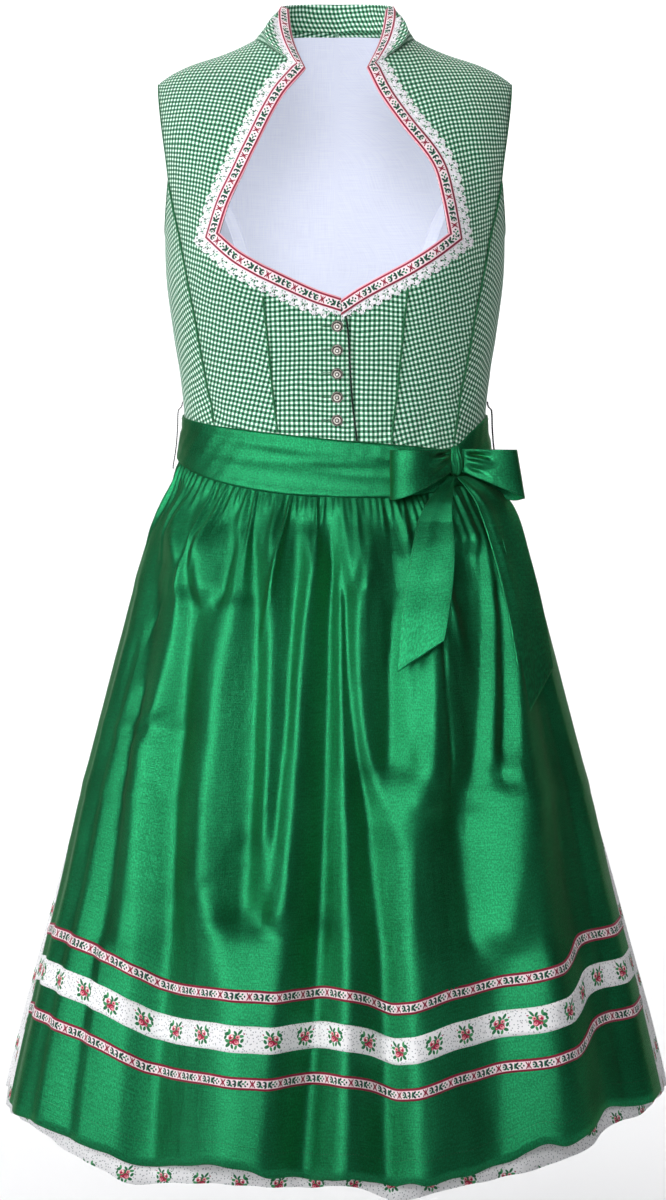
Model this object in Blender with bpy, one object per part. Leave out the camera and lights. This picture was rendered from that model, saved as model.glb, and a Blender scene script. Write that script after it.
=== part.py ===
"""Sleeveless dirndl dress with a gathered apron, filled out as it hangs on its shoulders.

Metres, +Z up. The front faces -Y and the wearer's right side is -X. The origin lies on the
shoulder line, which carries the dress. Angles run round the body in degrees: 0 is the centre
front, +90 the wearer's left side and 180 the centre back.

Every cloth piece is a wall between two faces that are both offset from one guide surface, and
every free edge is drawn back by half of SEAM_GAP, so that pieces that share an edge clear
each other.
"""
import math
from collections import namedtuple

import bmesh
import bpy
import numpy as np
from mathutils import Matrix, Vector

MM = 0.001

# ---------------------------------------------------------------- cloth and clearances
SEAM_GAP = 0.3 * MM
BODICE_WALL = 1.5 * MM
LINING_WALL = 1.0 * MM
LINING_GAP = 1.0 * MM
SKIRT_WALL = 1.5 * MM
APRON_WALL = 1.5 * MM
TRIM_WALL = 1.0 * MM
RIBBON_LIFT = 1.0 * MM
UNDERLAP = 20 * MM
UNDERLAP_DEPTH = 1.0 * MM
UNDERLAP_RAMP = (2 * MM, 13 * MM)

# ---------------------------------------------------------------- body sections
SECTION_POWER = 2.3
Section = namedtuple("Section", "z half_width front_depth back_depth")
BODY = (
    Section(0.040, 0.1840, 0.070, 0.088),
    Section(0.000, 0.1855, 0.088, 0.100),
    Section(-0.050, 0.1870, 0.104, 0.112),
    Section(-0.100, 0.1825, 0.120, 0.117),
    Section(-0.150, 0.1775, 0.140, 0.116),
    Section(-0.215, 0.1755, 0.155, 0.108),
    Section(-0.275, 0.1680, 0.142, 0.102),
    Section(-0.325, 0.1605, 0.125, 0.100),
    Section(-0.375, 0.1575, 0.1175, 0.100),
    Section(-0.425, 0.1665, 0.1285, 0.113),
    Section(-0.475, 0.1890, 0.147, 0.138),
    Section(-0.551, 0.2115, 0.168, 0.165),
    Section(-0.650, 0.2375, 0.192, 0.195),
    Section(-0.780, 0.2710, 0.220, 0.228),
    Section(-0.908, 0.3020, 0.246, 0.258),
    Section(-1.040, 0.3350, 0.272, 0.286),
    Section(-1.120, 0.3520, 0.286, 0.301),
)
ARC_PER_DEGREE = 2.6 * MM
CUP_X = 0.095
CUP_Z = -0.200
CUP_RISE = 18 * MM
CUP_WIDTH = 0.050
CUP_HEIGHT = 0.055

# ---------------------------------------------------------------- shoulders and neck
LEAN_START = -0.100
SHOULDER_Y = 0.005
PlanePoint = namedtuple("PlanePoint", "x z")
SHOULDER_LINE = (
    PlanePoint(0.0000, 0.0680),
    PlanePoint(0.0300, 0.0600),
    PlanePoint(0.0500, 0.0505),
    PlanePoint(0.0840, 0.0322),
    PlanePoint(0.1000, 0.0240),
    PlanePoint(0.1200, 0.0160),
    PlanePoint(0.1480, 0.0070),
    PlanePoint(0.1670, -0.0015),
    PlanePoint(0.1780, -0.0085),
    PlanePoint(0.1835, -0.0130),
    PlanePoint(0.1900, -0.0250),
)
NECK_POINT_X = 0.0840
TIP_X = 0.1835
NECK_BACK = (PlanePoint(0.0600, 0.0330), PlanePoint(0.0300, 0.0320), PlanePoint(0.0, 0.0315))
STAND_TOP_Z = 0.0685
STAND_TOP_HALF_WIDTH = 0.0505
STAND_TOP_DEPTH = 0.0550
STAND_FRONT_ANGLE = 103
STAND_SEAM_ANGLE = 86
STAND_BOW = 5 * MM

# ---------------------------------------------------------------- seams of the bodice
NECK_CENTRE = {
    "right": (PlanePoint(0.0060, -0.2415), PlanePoint(-0.0200, -0.2330), PlanePoint(-0.0715, -0.2095)),
    "left": (PlanePoint(0.0060, -0.2435), PlanePoint(0.0270, -0.2215), PlanePoint(0.0715, -0.1975)),
}
NECK_SIDE = {
    "right": (PlanePoint(-0.0715, -0.2095), PlanePoint(-0.0940, -0.1960), PlanePoint(-0.1150, -0.1770)),
    "left": (PlanePoint(0.0715, -0.1975), PlanePoint(0.0920, -0.1870), PlanePoint(0.1130, -0.1750)),
}
NECK_RISE = {
    "right": (
        PlanePoint(-0.1150, -0.1770),
        PlanePoint(-0.1070, -0.1500),
        PlanePoint(-0.0940, -0.1205),
        PlanePoint(-0.0810, -0.0920),
        PlanePoint(-0.0535, -0.0367),
        PlanePoint(-0.0300, -0.0070),
    ),
    "left": (
        PlanePoint(0.1130, -0.1750),
        PlanePoint(0.1075, -0.1430),
        PlanePoint(0.0965, -0.1050),
        PlanePoint(0.0655, -0.0640),
        PlanePoint(0.0455, -0.0340),
        PlanePoint(0.0325, -0.0060),
    ),
}
NECK_FRONT = {
    "right": (PlanePoint(-0.0300, -0.0070), PlanePoint(-0.0560, 0.0110), PlanePoint(-0.0840, 0.0322)),
    "left": (PlanePoint(0.0325, -0.0060), PlanePoint(0.0570, 0.0110), PlanePoint(0.0840, 0.0322)),
}
PLACKET = (
    PlanePoint(0.0235, -0.4150),
    PlanePoint(0.0215, -0.3810),
    PlanePoint(0.0170, -0.3420),
    PlanePoint(0.0150, -0.3125),
    PlanePoint(0.0120, -0.2680),
    PlanePoint(0.0060, -0.2415),
)
FRONT_SEAM = (
    PlanePoint(0.0550, -0.4120),
    PlanePoint(0.0580, -0.3750),
    PlanePoint(0.0630, -0.3300),
    PlanePoint(0.0675, -0.2800),
    PlanePoint(0.0715, -0.2380),
)
SIDE_FRONT_SEAM = (
    PlanePoint(0.1200, -0.3980),
    PlanePoint(0.1235, -0.3650),
    PlanePoint(0.1310, -0.3200),
    PlanePoint(0.1405, -0.2650),
    PlanePoint(0.1490, -0.2200),
    PlanePoint(0.1565, -0.1820),
    PlanePoint(0.1640, -0.1500),
    PlanePoint(0.1705, -0.1165),
)
ARMHOLE_FRONT = (
    PlanePoint(0.1705, -0.1165),
    PlanePoint(0.1745, -0.0850),
    PlanePoint(0.1795, -0.0500),
    PlanePoint(0.1825, -0.0280),
    PlanePoint(0.1835, -0.0130),
)
RingPoint = namedtuple("RingPoint", "angle z")
UNDERARM = RingPoint(90, -0.172)
BACK_SEAM_TOP = RingPoint(109, -0.085)
ARMHOLE_UNDER_FRONT = (RingPoint(76.5, -0.139), RingPoint(82.5, -0.162), UNDERARM)
ARMHOLE_UNDER_BACK = (UNDERARM, RingPoint(98, -0.165), RingPoint(105, -0.139), BACK_SEAM_TOP)
ARMHOLE_BACK = (BACK_SEAM_TOP, RingPoint(108, -0.055), RingPoint(103, -0.032))
BACK_SEAM = (
    PlanePoint(0.0620, -0.3850),
    PlanePoint(0.0700, -0.3000),
    PlanePoint(0.0900, -0.2000),
    PlanePoint(0.1170, -0.1300),
)
FRONT_SEAM_ROWS = 7
NECK_SIDE_ROWS = 2
NECK_RISE_ROWS = 6
STAND_COLUMNS = 2
STAND_ROWS = 3
SIDE_SEAM_ROWS = 9
BACK_ARMHOLE_ROWS = 4
SHOULDER_COLUMNS = 5
NECK_BACK_COLUMNS = 4
LINING_DROP = 3 * MM
WAIST_SIDE_Z = -0.385
WAIST_DIP = 0.030
DIP_POWER = 1.4

# ---------------------------------------------------------------- neckline trims
RIBBON_WIDTH = 12.5 * MM
LACE_WIDTH = 12.5 * MM
LACE_SCALLOP = 1.6 * MM
NECK_STATIONS = 26
STAND_STATIONS = 7
LACE_STAND_SHARE = 0.75
LACE_BUTTON_NOTCH = 7 * MM
LACE_TAPER = 0.35
STAND_FRONT_REACH = 45 * MM

# ---------------------------------------------------------------- buttons and piping
BUTTON_RADIUS = 6.2 * MM
BUTTON_LIFT = 0.9 * MM
BUTTON_X = 0.0021
BUTTON_TOP_Z = -0.2690
BUTTON_PITCH = 0.02345
BUTTON_COUNT = 5
BUTTON_SIDES = 12
BUTTON_CROWN = 3.9 * MM
ButtonRing = namedtuple("ButtonRing", "radius_share height")
BUTTON_PROFILE = (
    ButtonRing(0.80, 0.0),
    ButtonRing(1.00, 0.9 * MM),
    ButtonRing(0.82, 2.4 * MM),
    ButtonRing(0.42, 3.4 * MM),
)
PIPING_RADIUS = 0.9 * MM
PIPING_SIDES = 4
PIPING_LIFT = 0.5 * MM
PIPING_END_SHARE = 0.985
PIPED_FRONT_TOP_Z = {"right": -0.2400, "left": -0.2310}
PipingFoot = namedtuple("PipingFoot", "sash_angle gap")
PIPING_FOOT = {
    "front": PipingFoot(27, 2 * MM),
    "side": PipingFoot(57, 4 * MM),
    "back": PipingFoot(140, 3 * MM),
}

# ---------------------------------------------------------------- belt loops
LOOP_THREAD_RADIUS = 0.6 * MM
LoopPoint = namedtuple("LoopPoint", "z lift")
BELT_LOOP = (
    LoopPoint(-0.3430, 1.1 * MM),
    LoopPoint(-0.3480, 2.6 * MM),
    LoopPoint(-0.3520, 6.2 * MM),
    LoopPoint(-0.3700, 7.6 * MM),
    LoopPoint(-0.3900, 7.6 * MM),
    LoopPoint(-0.4080, 7.4 * MM),
    LoopPoint(-0.4130, 6.6 * MM),
)

# ---------------------------------------------------------------- sash and bow
SASH_WALL = 1.6 * MM
SASH_TOP_LIFT = 1.4 * MM
SASH_FOOT_LIFT = 3.6 * MM
SashEdge = namedtuple("SashEdge", "angle top bottom")
SASH = (
    SashEdge(-180, -0.352, -0.402),
    SashEdge(-120, -0.353, -0.402),
    SashEdge(-81, -0.359, -0.404),
    SashEdge(-49, -0.370, -0.425),
    SashEdge(-25, -0.3765, -0.4356),
    SashEdge(0, -0.382, -0.4395),
    SashEdge(25, -0.3865, -0.4396),
    SashEdge(38, -0.389, -0.436),
    SashEdge(48, -0.3915, -0.431),
    SashEdge(55, -0.389, -0.427),
    SashEdge(66, -0.372, -0.418),
    SashEdge(80, -0.360, -0.410),
    SashEdge(120, -0.353, -0.402),
    SashEdge(180, -0.352, -0.402),
)
KNOT_ANGLE = 50.5
KNOT_Z = -0.4035
KNOT_LIFT = 0.9 * MM
KNOT_HALF_SIZE = Vector((8.5 * MM, 8.0 * MM, 16.5 * MM))
LOOP_WALL = 1.4 * MM
Loop = namedtuple("Loop", "name root_x root_y tip_x tip_y bulge")
LOOPS = (
    Loop("bow_loop_right", 0.1158, -0.1128, 0.0575, -0.1540, 9 * MM),
    Loop("bow_loop_left", 0.1296, -0.0998, 0.1890, -0.0850, 10 * MM),
)
LOOP_ROOT_GAP = 2.0 * MM
LOOP_ROOT_HALF_HEIGHT = 11.5 * MM
LOOP_TIP_HALF_HEIGHT = 25.0 * MM
LOOP_DROP = 14 * MM
TAIL_WALL = 1.4 * MM
TAIL_STAND_OFF = 16 * MM
TAIL_TOP_STAND_OFF = 11 * MM
TAIL_FLUTE = 3 * MM
TailRow = namedtuple("TailRow", "x_inner z_inner x_outer z_outer")
TailStation = namedtuple("TailStation", ("share",) + TailRow._fields)
TAILS = {
    "bow_tail_right": (
        TailRow(0.1150, -0.4190, 0.1215, -0.4196),
        TailRow(0.0940, -0.4430, 0.1180, -0.4430),
        TailRow(0.0835, -0.4620, 0.1175, -0.4620),
        TailRow(0.0765, -0.4900, 0.1195, -0.4840),
        TailRow(0.0700, -0.5200, 0.1185, -0.5120),
        TailRow(0.0655, -0.5520, 0.1145, -0.5450),
        TailRow(0.0610, -0.6105, 0.1080, -0.5790),
    ),
    "bow_tail_left": (
        TailRow(0.1235, -0.4198, 0.1300, -0.4190),
        TailRow(0.1400, -0.4410, 0.1600, -0.4370),
        TailRow(0.1525, -0.4610, 0.1800, -0.4550),
        TailRow(0.1600, -0.5000, 0.1940, -0.5000),
        TailRow(0.1655, -0.5350, 0.2020, -0.5350),
        TailRow(0.1725, -0.5720, 0.2100, -0.5680),
        TailRow(0.1840, -0.6480, 0.2180, -0.6035),
    ),
}

# ---------------------------------------------------------------- apron and skirt
APRON_LIFT = 2.0 * MM
APRON_EDGE_TOP_ANGLE = 85
APRON_EDGE_HEM_ANGLE = 78
GATHER_COLUMNS = 80
GATHER_RISE = 3.5 * MM
GatherRow = namedtuple("GatherRow", "below_sash swell")
GATHER_ROWS = (
    GatherRow(5 * MM, 0.0),
    GatherRow(-2 * MM, 0.25),
    GatherRow(-15 * MM, 1.0),
    GatherRow(-40 * MM, 0.75),
    GatherRow(-75 * MM, 0.0),
)
APRON_ROWS = (-0.560, -0.640, -0.730, -0.820)
APRON_HEM_ROWS = (-1.045, -1.083)
Trim = namedtuple("Trim", "name top bottom")
TRIMS = (
    Trim("trim_ribbon_upper", -0.908, -0.918),
    Trim("trim_floral", -0.940, -0.965),
    Trim("trim_ribbon_lower", -0.988, -0.998),
)
SKIRT_HEM_Z = -1.098
SKIRT_SINK = 3.0 * MM
SKIRT_TOP_GAP = 0.9 * MM
SIDE_SEAM_ANGLE = 88
DROP_START_Z = -0.550
DROP_FULL_Z = -0.900
Drop = namedtuple("Drop", "angle rise")
HEM_DROP = (
    Drop(-180, 0.0),
    Drop(-120, -2 * MM),
    Drop(-90, 8 * MM),
    Drop(-78, 11 * MM),
    Drop(-50, 8 * MM),
    Drop(-36, -7 * MM),
    Drop(-18, -12 * MM),
    Drop(0, -8 * MM),
    Drop(13, -19 * MM),
    Drop(26, -6 * MM),
    Drop(40, 4 * MM),
    Drop(49, 5 * MM),
    Drop(54, 9 * MM),
    Drop(57, 20 * MM),
    Drop(75, 23 * MM),
    Drop(90, 18 * MM),
    Drop(120, 2 * MM),
    Drop(180, 0.0),
)
Fold = namedtuple("Fold", "top_angle hem_angle top_rise hem_rise spread")
APRON_FOLDS = (
    Fold(-74.0, -69.0, 3.0, 9.0, 5.0),
    Fold(-57.5, -50.0, 6.0, 15.0, 4.5),
    Fold(-43.5, -34.0, 7.0, 18.0, 4.8),
    Fold(-33.0, -26.0, 4.0, 4.0, 3.0),
    Fold(-23.5, -18.0, 6.0, 15.0, 3.4),
    Fold(-14.5, -11.5, 6.0, 5.0, 2.4),
    Fold(0.5, -2.0, 6.0, 15.0, 3.2),
    Fold(6.5, 4.5, 5.0, 1.0, 2.4),
    Fold(12.0, 11.0, 4.0, 13.0, 3.0),
    Fold(21.0, 17.0, 5.0, 6.0, 3.2),
    Fold(33.0, 27.0, 5.0, 4.0, 3.0),
    Fold(45.0, 38.0, 6.0, 16.0, 5.0),
    Fold(60.0, 51.0, 4.0, 14.0, 3.4),
    Fold(76.0, 70.0, 3.0, 9.0, 5.0),
)
BACK_FOLD_PITCH = 12.9
BACK_FOLD_TOP = 3 * MM
BACK_FOLD_HEM = 11 * MM

# ---------------------------------------------------------------- finishes
Finish = namedtuple("Finish", "colour roughness metallic")
FINISHES = {
    "gingham_cotton": Finish((0.16, 0.42, 0.27), 0.85, 0.0),
    "lining_cotton": Finish((0.74, 0.76, 0.88), 0.90, 0.0),
    "green_taffeta": Finish((0.012, 0.26, 0.09), 0.35, 0.0),
    "woven_ribbon": Finish((0.78, 0.45, 0.44), 0.75, 0.0),
    "white_lace": Finish((0.88, 0.88, 0.90), 0.90, 0.0),
    "green_piping": Finish((0.010, 0.16, 0.07), 0.70, 0.0),
    "antique_silver": Finish((0.42, 0.40, 0.37), 0.38, 1.0),
    "rose_print_cotton": Finish((0.86, 0.85, 0.86), 0.88, 0.0),
    "black_thread": Finish((0.01, 0.01, 0.01), 0.80, 0.0),
}


# ================================================================ guide surfaces
def table_value(rows, key, column, value):
    """Smooth value of one column of a table at a place along its key column."""
    ordered = sorted(rows, key=lambda row: getattr(row, key))
    keys = [getattr(row, key) for row in ordered]
    values = [getattr(row, column) for row in ordered]
    if value <= keys[0]:
        return values[0]
    if value >= keys[-1]:
        return values[-1]
    i = int(np.searchsorted(keys, value, side="right")) - 1

    def slope(k):
        low = max(k - 1, 0)
        high = min(k + 1, len(keys) - 1)
        return (values[high] - values[low]) / (keys[high] - keys[low])

    span = keys[i + 1] - keys[i]
    t = (value - keys[i]) / span
    return (
        (2 * t**3 - 3 * t**2 + 1) * values[i]
        + (t**3 - 2 * t**2 + t) * span * slope(i)
        + (3 * t**2 - 2 * t**3) * values[i + 1]
        + (t**3 - t**2) * span * slope(i + 1)
    )


def smooth_step(low, high, value):
    t = min(max((value - low) / (high - low), 0.0), 1.0)
    return t * t * (3 - 2 * t)


def section_sizes(z):
    return tuple(table_value(BODY, "z", column, z) for column in Section._fields[1:])


def ring_point(angle, z):
    """Point of the body section at a height, by its direction from the body's axis."""
    half_width, front, back = section_sizes(z)
    across = math.sin(math.radians(angle))
    ahead = math.cos(math.radians(angle))
    depth = front if ahead >= 0 else back
    power = SECTION_POWER
    reach = ((abs(across) / half_width) ** power + (abs(ahead) / depth) ** power) ** (-1 / power)
    return np.array((reach * across, -reach * ahead, z))


def ring_normal(angle, z):
    """Level direction that points straight out of the body section."""
    half_width, front, back = section_sizes(z)
    x, y, _ = ring_point(angle, z)
    depth = front if y <= 0 else back
    power = SECTION_POWER - 1
    across = math.copysign((abs(x) / half_width) ** power / half_width, x)
    ahead = math.copysign((abs(y) / depth) ** power / depth, y)
    length = math.hypot(across, ahead)
    return np.array((across / length, ahead / length, 0.0))


def shoulder_height(x):
    return table_value(SHOULDER_LINE, "x", "z", abs(x))


def body_point(angle, z):
    """Outer face of the bodice: body section, cups, and the lean towards the shoulder line."""
    x, y, _ = ring_point(angle, z)
    if y < 0:
        across = (abs(x) - CUP_X) / CUP_WIDTH
        along = (z - CUP_Z) / CUP_HEIGHT
        y -= CUP_RISE * math.exp(-across * across - along * along)
    if z > LEAN_START:
        climb = min((z - LEAN_START) / (shoulder_height(x) - LEAN_START), 1.0)
        y = SHOULDER_Y + (y - SHOULDER_Y) * math.sqrt(1 - climb * climb)
    return np.array((x, y, z))


def body_normal(angle, z):
    """Outward normal; along the shoulder line it stands square to that line."""
    turn = 0.6
    step = 1.5 * MM
    point = body_point(angle, z)
    if abs(point[1] - SHOULDER_Y) < 0.1 * MM and z > LEAN_START:
        x = abs(point[0])
        slope = (shoulder_height(x + step) - shoulder_height(x - step)) / (2 * step)
        normal = np.array((-slope * math.copysign(1.0, point[0]), 0.0, 1.0))
        return normal / np.linalg.norm(normal)
    across = body_point(angle + turn, z) - body_point(angle - turn, z)
    above = 0.0 if z > LEAN_START else step
    upward = body_point(angle, z + above) - body_point(angle, z - step)
    normal = np.cross(across, upward)
    return normal / np.linalg.norm(normal)


def angle_at(x, z, back=False):
    """Angle at which the body section of a height passes a given x."""
    half_width, front, rear = section_sizes(z)
    share = min(abs(x) / half_width, 1.0)
    depth = (1 - share**SECTION_POWER) ** (1 / SECTION_POWER) * (rear if back else front)
    angle = math.degrees(math.atan2(abs(x), -depth if back else depth))
    return math.copysign(angle, x)


def front_place(point):
    return np.array((angle_at(point.x, point.z), point.z))


def back_place(point):
    return np.array((angle_at(point.x, point.z, back=True), point.z))


def mirrored(points):
    return tuple(PlanePoint(-point.x, point.z) for point in points)


def waist_z(angle):
    ahead = max(math.cos(math.radians(angle)), 0.0)
    return WAIST_SIDE_Z - WAIST_DIP * ahead**DIP_POWER


# ================================================================ edges and patches
def edge_through(places):
    """Function of 0 to 1 that runs smoothly through a list of (angle, z) places."""
    places = [np.asarray(place, dtype=float) for place in places]
    steps = [math.hypot((b[0] - a[0]) * ARC_PER_DEGREE, b[1] - a[1]) for a, b in zip(places, places[1:])]
    marks = np.concatenate(([0.0], np.cumsum(steps)))
    marks = marks / marks[-1]

    def slope(k):
        low = max(k - 1, 0)
        high = min(k + 1, len(places) - 1)
        return (places[high] - places[low]) / (marks[high] - marks[low])

    def at(t):
        i = min(max(int(np.searchsorted(marks, t, side="right")) - 1, 0), len(places) - 2)
        span = marks[i + 1] - marks[i]
        u = (t - marks[i]) / span
        return (
            (2 * u**3 - 3 * u**2 + 1) * places[i]
            + (u**3 - 2 * u**2 + u) * span * slope(i)
            + (3 * u**2 - 2 * u**3) * places[i + 1]
            + (u**3 - u**2) * span * slope(i + 1)
        )

    return at


def joined_edge(*pieces):
    """One edge from several, each a pair of its share of the rows and its own function."""
    total = sum(share for share, _ in pieces)
    starts = np.cumsum([0] + [share for share, _ in pieces]) / total

    def at(t):
        i = min(max(int(np.searchsorted(starts, t + 1e-9, side="right")) - 1, 0), len(pieces) - 1)
        u = (t - starts[i]) / (starts[i + 1] - starts[i])
        return pieces[i][1](min(max(u, 0.0), 1.0))

    return at


def coons_places(bottom, top, left, right, rows, columns):
    """Grid of places blended between four edges."""
    grid = []
    for i in range(rows + 1):
        t = i / rows
        row = []
        for j in range(columns + 1):
            s = j / columns
            ruled = (1 - t) * bottom(s) + t * top(s) + (1 - s) * left(t) + s * right(t)
            corners = (
                (1 - s) * (1 - t) * bottom(0)
                + s * (1 - t) * bottom(1)
                + (1 - s) * t * top(0)
                + s * t * top(1)
            )
            row.append(ruled - corners)
        grid.append(row)
    return grid


def body_patch(places):
    """Rows of points and normals of the bodice surface at a grid of (angle, z) places."""
    points = [[body_point(*place) for place in row] for row in places]
    normals = [[body_normal(*place) for place in row] for row in places]
    return points, normals


def grid_normals(points, ring=False):
    """Outward normals of a grid whose rows run down and whose columns run towards +angle."""
    grid = np.array(points)
    down = np.gradient(grid, axis=0)
    if ring:
        across = np.roll(grid, -1, axis=1) - np.roll(grid, 1, axis=1)
    else:
        across = np.gradient(grid, axis=1)
    normals = np.cross(down, across)
    return normals / np.linalg.norm(normals, axis=2, keepdims=True)


# ================================================================ solids
def strip_triangles(first, second):
    """Triangles between two rows of indices of equal count, or of counts 2n + 1 and n + 1."""
    triangles = []
    if len(first) == len(second):
        for a, b, c, d in zip(first, first[1:], second, second[1:]):
            triangles += [(a, b, d), (a, d, c)]
    else:
        for k, (c, d) in enumerate(zip(second, second[1:])):
            a, b, e = first[2 * k : 2 * k + 3]
            triangles += [(a, b, c), (b, d, c), (b, e, d)]
    return triangles


class Surface:
    """Single layer of triangles; patches that meet share their points."""

    def __init__(self):
        self.index = {}
        self.points = []
        self.normals = []
        self.triangles = []

    def place(self, point, normal):
        key = tuple(np.round(np.asarray(point) / (1e-3 * MM)).astype(int))
        if key not in self.index:
            self.index[key] = len(self.points)
            self.points.append(np.asarray(point, dtype=float))
            self.normals.append(np.zeros(3))
        self.normals[self.index[key]] += normal
        return self.index[key]

    def add(self, points, normals):
        rows = []
        for point_row, normal_row in zip(points, normals):
            rows.append([self.place(p, n) for p, n in zip(point_row, normal_row)])
        for first, second in zip(rows, rows[1:]):
            self.triangles += strip_triangles(first, second)
        return self

    def border(self):
        """Edges that only one triangle uses, each with that triangle's third point."""
        used = {}
        for a, b, c in self.triangles:
            for start, end, opposite in ((a, b, c), (b, c, a), (c, a, b)):
                used.setdefault(frozenset((start, end)), []).append((start, end, opposite))
        return [users[0] for users in used.values() if len(users) == 1]

    def drawn_in(self, distance):
        """Points with every free edge moved into the surface by a distance."""
        moved = [point.copy() for point in self.points]
        pull = {}
        for start, end, opposite in self.border():
            along = self.points[end] - self.points[start]
            along = along / np.linalg.norm(along)
            inward = self.points[opposite] - self.points[start]
            inward = inward - along * inward.dot(along)
            inward = inward / np.linalg.norm(inward)
            pull.setdefault(start, []).append(inward)
            pull.setdefault(end, []).append(inward)
        for index, directions in pull.items():
            mean = sum(directions)
            moved[index] = moved[index] + mean * distance / max(mean.dot(directions[0]), 0.4)
        return moved


def finish_material(name):
    material = bpy.data.materials.get(name)
    if material is None:
        finish = FINISHES[name]
        material = bpy.data.materials.new(name)
        material.use_nodes = True
        shader = material.node_tree.nodes["Principled BSDF"]
        shader.inputs["Base Color"].default_value = (*finish.colour, 1)
        shader.inputs["Roughness"].default_value = finish.roughness
        shader.inputs["Metallic"].default_value = finish.metallic
        material.diffuse_color = (*finish.colour, 1)
    return material


def add_object(name, shape, material):
    """Object from a closed bmesh, with its faces turned outwards."""
    bmesh.ops.recalc_face_normals(shape, faces=shape.faces[:])
    mesh = bpy.data.meshes.new(name)
    shape.to_mesh(mesh)
    shape.free()
    mesh.shade_smooth()
    mesh.set_sharp_from_angle(angle=math.radians(50))
    mesh.materials.append(finish_material(material))
    piece = bpy.data.objects.new(name, mesh)
    bpy.context.scene.collection.objects.link(piece)
    return piece


def wall(name, surface, inner, outer, material):
    """Closed cloth wall between two offsets of a surface; an offset may be one for each point."""
    points = surface.drawn_in(SEAM_GAP / 2)
    normals = [normal / np.linalg.norm(normal) for normal in surface.normals]
    shape = bmesh.new()
    faces = []
    for offset in (outer, inner):
        offsets = np.broadcast_to(offset, (len(points),))
        faces.append([shape.verts.new(p + n * d) for p, n, d in zip(points, normals, offsets)])
    outside, inside = faces
    for a, b, c in surface.triangles:
        shape.faces.new((outside[a], outside[b], outside[c]))
        shape.faces.new((inside[c], inside[b], inside[a]))
    for start, end, _ in surface.border():
        shape.faces.new((outside[end], outside[start], inside[start]))
        shape.faces.new((outside[end], inside[start], inside[end]))
    return add_object(name, shape, material)


def tube(name, path, radius, material, normals, sides=PIPING_SIDES, ring=False):
    """Cord along a path, its corners set square to the cloth's normals."""
    path = [Vector(point) for point in path]
    count = len(path)
    shape = bmesh.new()
    rings = []
    for i, point in enumerate(path):
        before = path[(i - 1) % count] if ring or i else point
        after = path[(i + 1) % count] if ring or i < count - 1 else point
        along = (after - before).normalized()
        outward = Vector(normals[i])
        outward = (outward - along * outward.dot(along)).normalized()
        sideways = along.cross(outward)
        corners = []
        for k in range(sides):
            turn = 2 * math.pi * k / sides
            corners.append(
                shape.verts.new(point + (outward * math.cos(turn) + sideways * math.sin(turn)) * radius)
            )
        rings.append(corners)
    pairs = list(zip(rings, rings[1:] + rings[:1] if ring else rings[1:]))
    for first, second in pairs:
        for k in range(sides):
            m = (k + 1) % sides
            shape.faces.new((first[k], first[m], second[m], second[k]))
    if not ring:
        shape.faces.new(rings[0])
        shape.faces.new(rings[-1])
    return add_object(name, shape, material)


# ================================================================ bodice panels
def side_sign(side):
    return -1 if side == "right" else 1


def seam_places(points, side):
    """Places of a front seam on one side of the body."""
    if side == "right":
        points = mirrored(points)
    return [front_place(point) for point in points]


def ring_places(points, side):
    sign = side_sign(side)
    return [np.array((sign * point.angle, point.z)) for point in points]


def waist_edge(start_angle, end_angle):
    def at(s):
        angle = start_angle + (end_angle - start_angle) * s
        return np.array((angle, waist_z(angle)))

    return at


def set_foot(places):
    """Places of a seam with the first one brought onto the waistline."""
    foot = places[0].copy()
    foot[1] = waist_z(foot[0])
    return [foot] + list(places[1:])


def tip_place(side, back=False):
    point = PlanePoint(side_sign(side) * TIP_X, shoulder_height(TIP_X))
    return back_place(point) if back else front_place(point)


def shoulder_edge(side, back=False):
    """Shoulder seam from the neck point to the tip, in even steps of x on both panels."""
    place = back_place if back else front_place
    sign = side_sign(side)

    def at(s):
        x = NECK_POINT_X + (TIP_X - NECK_POINT_X) * s
        return place(PlanePoint(sign * x, shoulder_height(x)))

    return at


def neck_back_edge(side):
    """Back neck seam from the neck point to the centre back."""
    sign = side_sign(side)
    places = [back_place(PlanePoint(sign * NECK_POINT_X, shoulder_height(NECK_POINT_X)))]
    places += [back_place(PlanePoint(sign * point.x, point.z)) for point in NECK_BACK[:-1]]
    places.append(np.array((sign * 180.0, NECK_BACK[-1].z)))
    return edge_through(places)


def front_seam_edge(side):
    places = seam_places(FRONT_SEAM, side) + [front_place(NECK_CENTRE[side][-1])]
    return edge_through(set_foot(places))


def side_front_seam_edge(side):
    return edge_through(set_foot(seam_places(SIDE_FRONT_SEAM, side)))


def side_seam_edge(side):
    sign = side_sign(side)
    return edge_through([(sign * 90, waist_z(90)), (sign * 90, -0.28), (sign * 90, UNDERARM.z)])


def back_seam_edge(side):
    sign = side_sign(side)
    places = [back_place(PlanePoint(sign * point.x, point.z)) for point in BACK_SEAM]
    places.append(np.array((sign * BACK_SEAM_TOP.angle, BACK_SEAM_TOP.z)))
    return edge_through(set_foot(places))


def placket_edge(shift=0.0, drop=0.0):
    places = [front_place(PlanePoint(point.x - shift, point.z)) for point in PLACKET]
    places[-1][1] -= drop
    return edge_through(set_foot(places))


def front_centre_places(side, columns=6):
    neck = [front_place(point) for point in NECK_CENTRE[side]]
    if side == "right":
        left = front_seam_edge("right")
        right = placket_edge()
        top = edge_through(neck[::-1])
    else:
        left = placket_edge(shift=UNDERLAP, drop=12 * MM)
        right = front_seam_edge("left")
        top = edge_through([left(1.0)] + neck)
    bottom = waist_edge(left(0)[0], right(0)[0])
    return coons_places(bottom, top, left, right, FRONT_SEAM_ROWS, columns)


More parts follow.
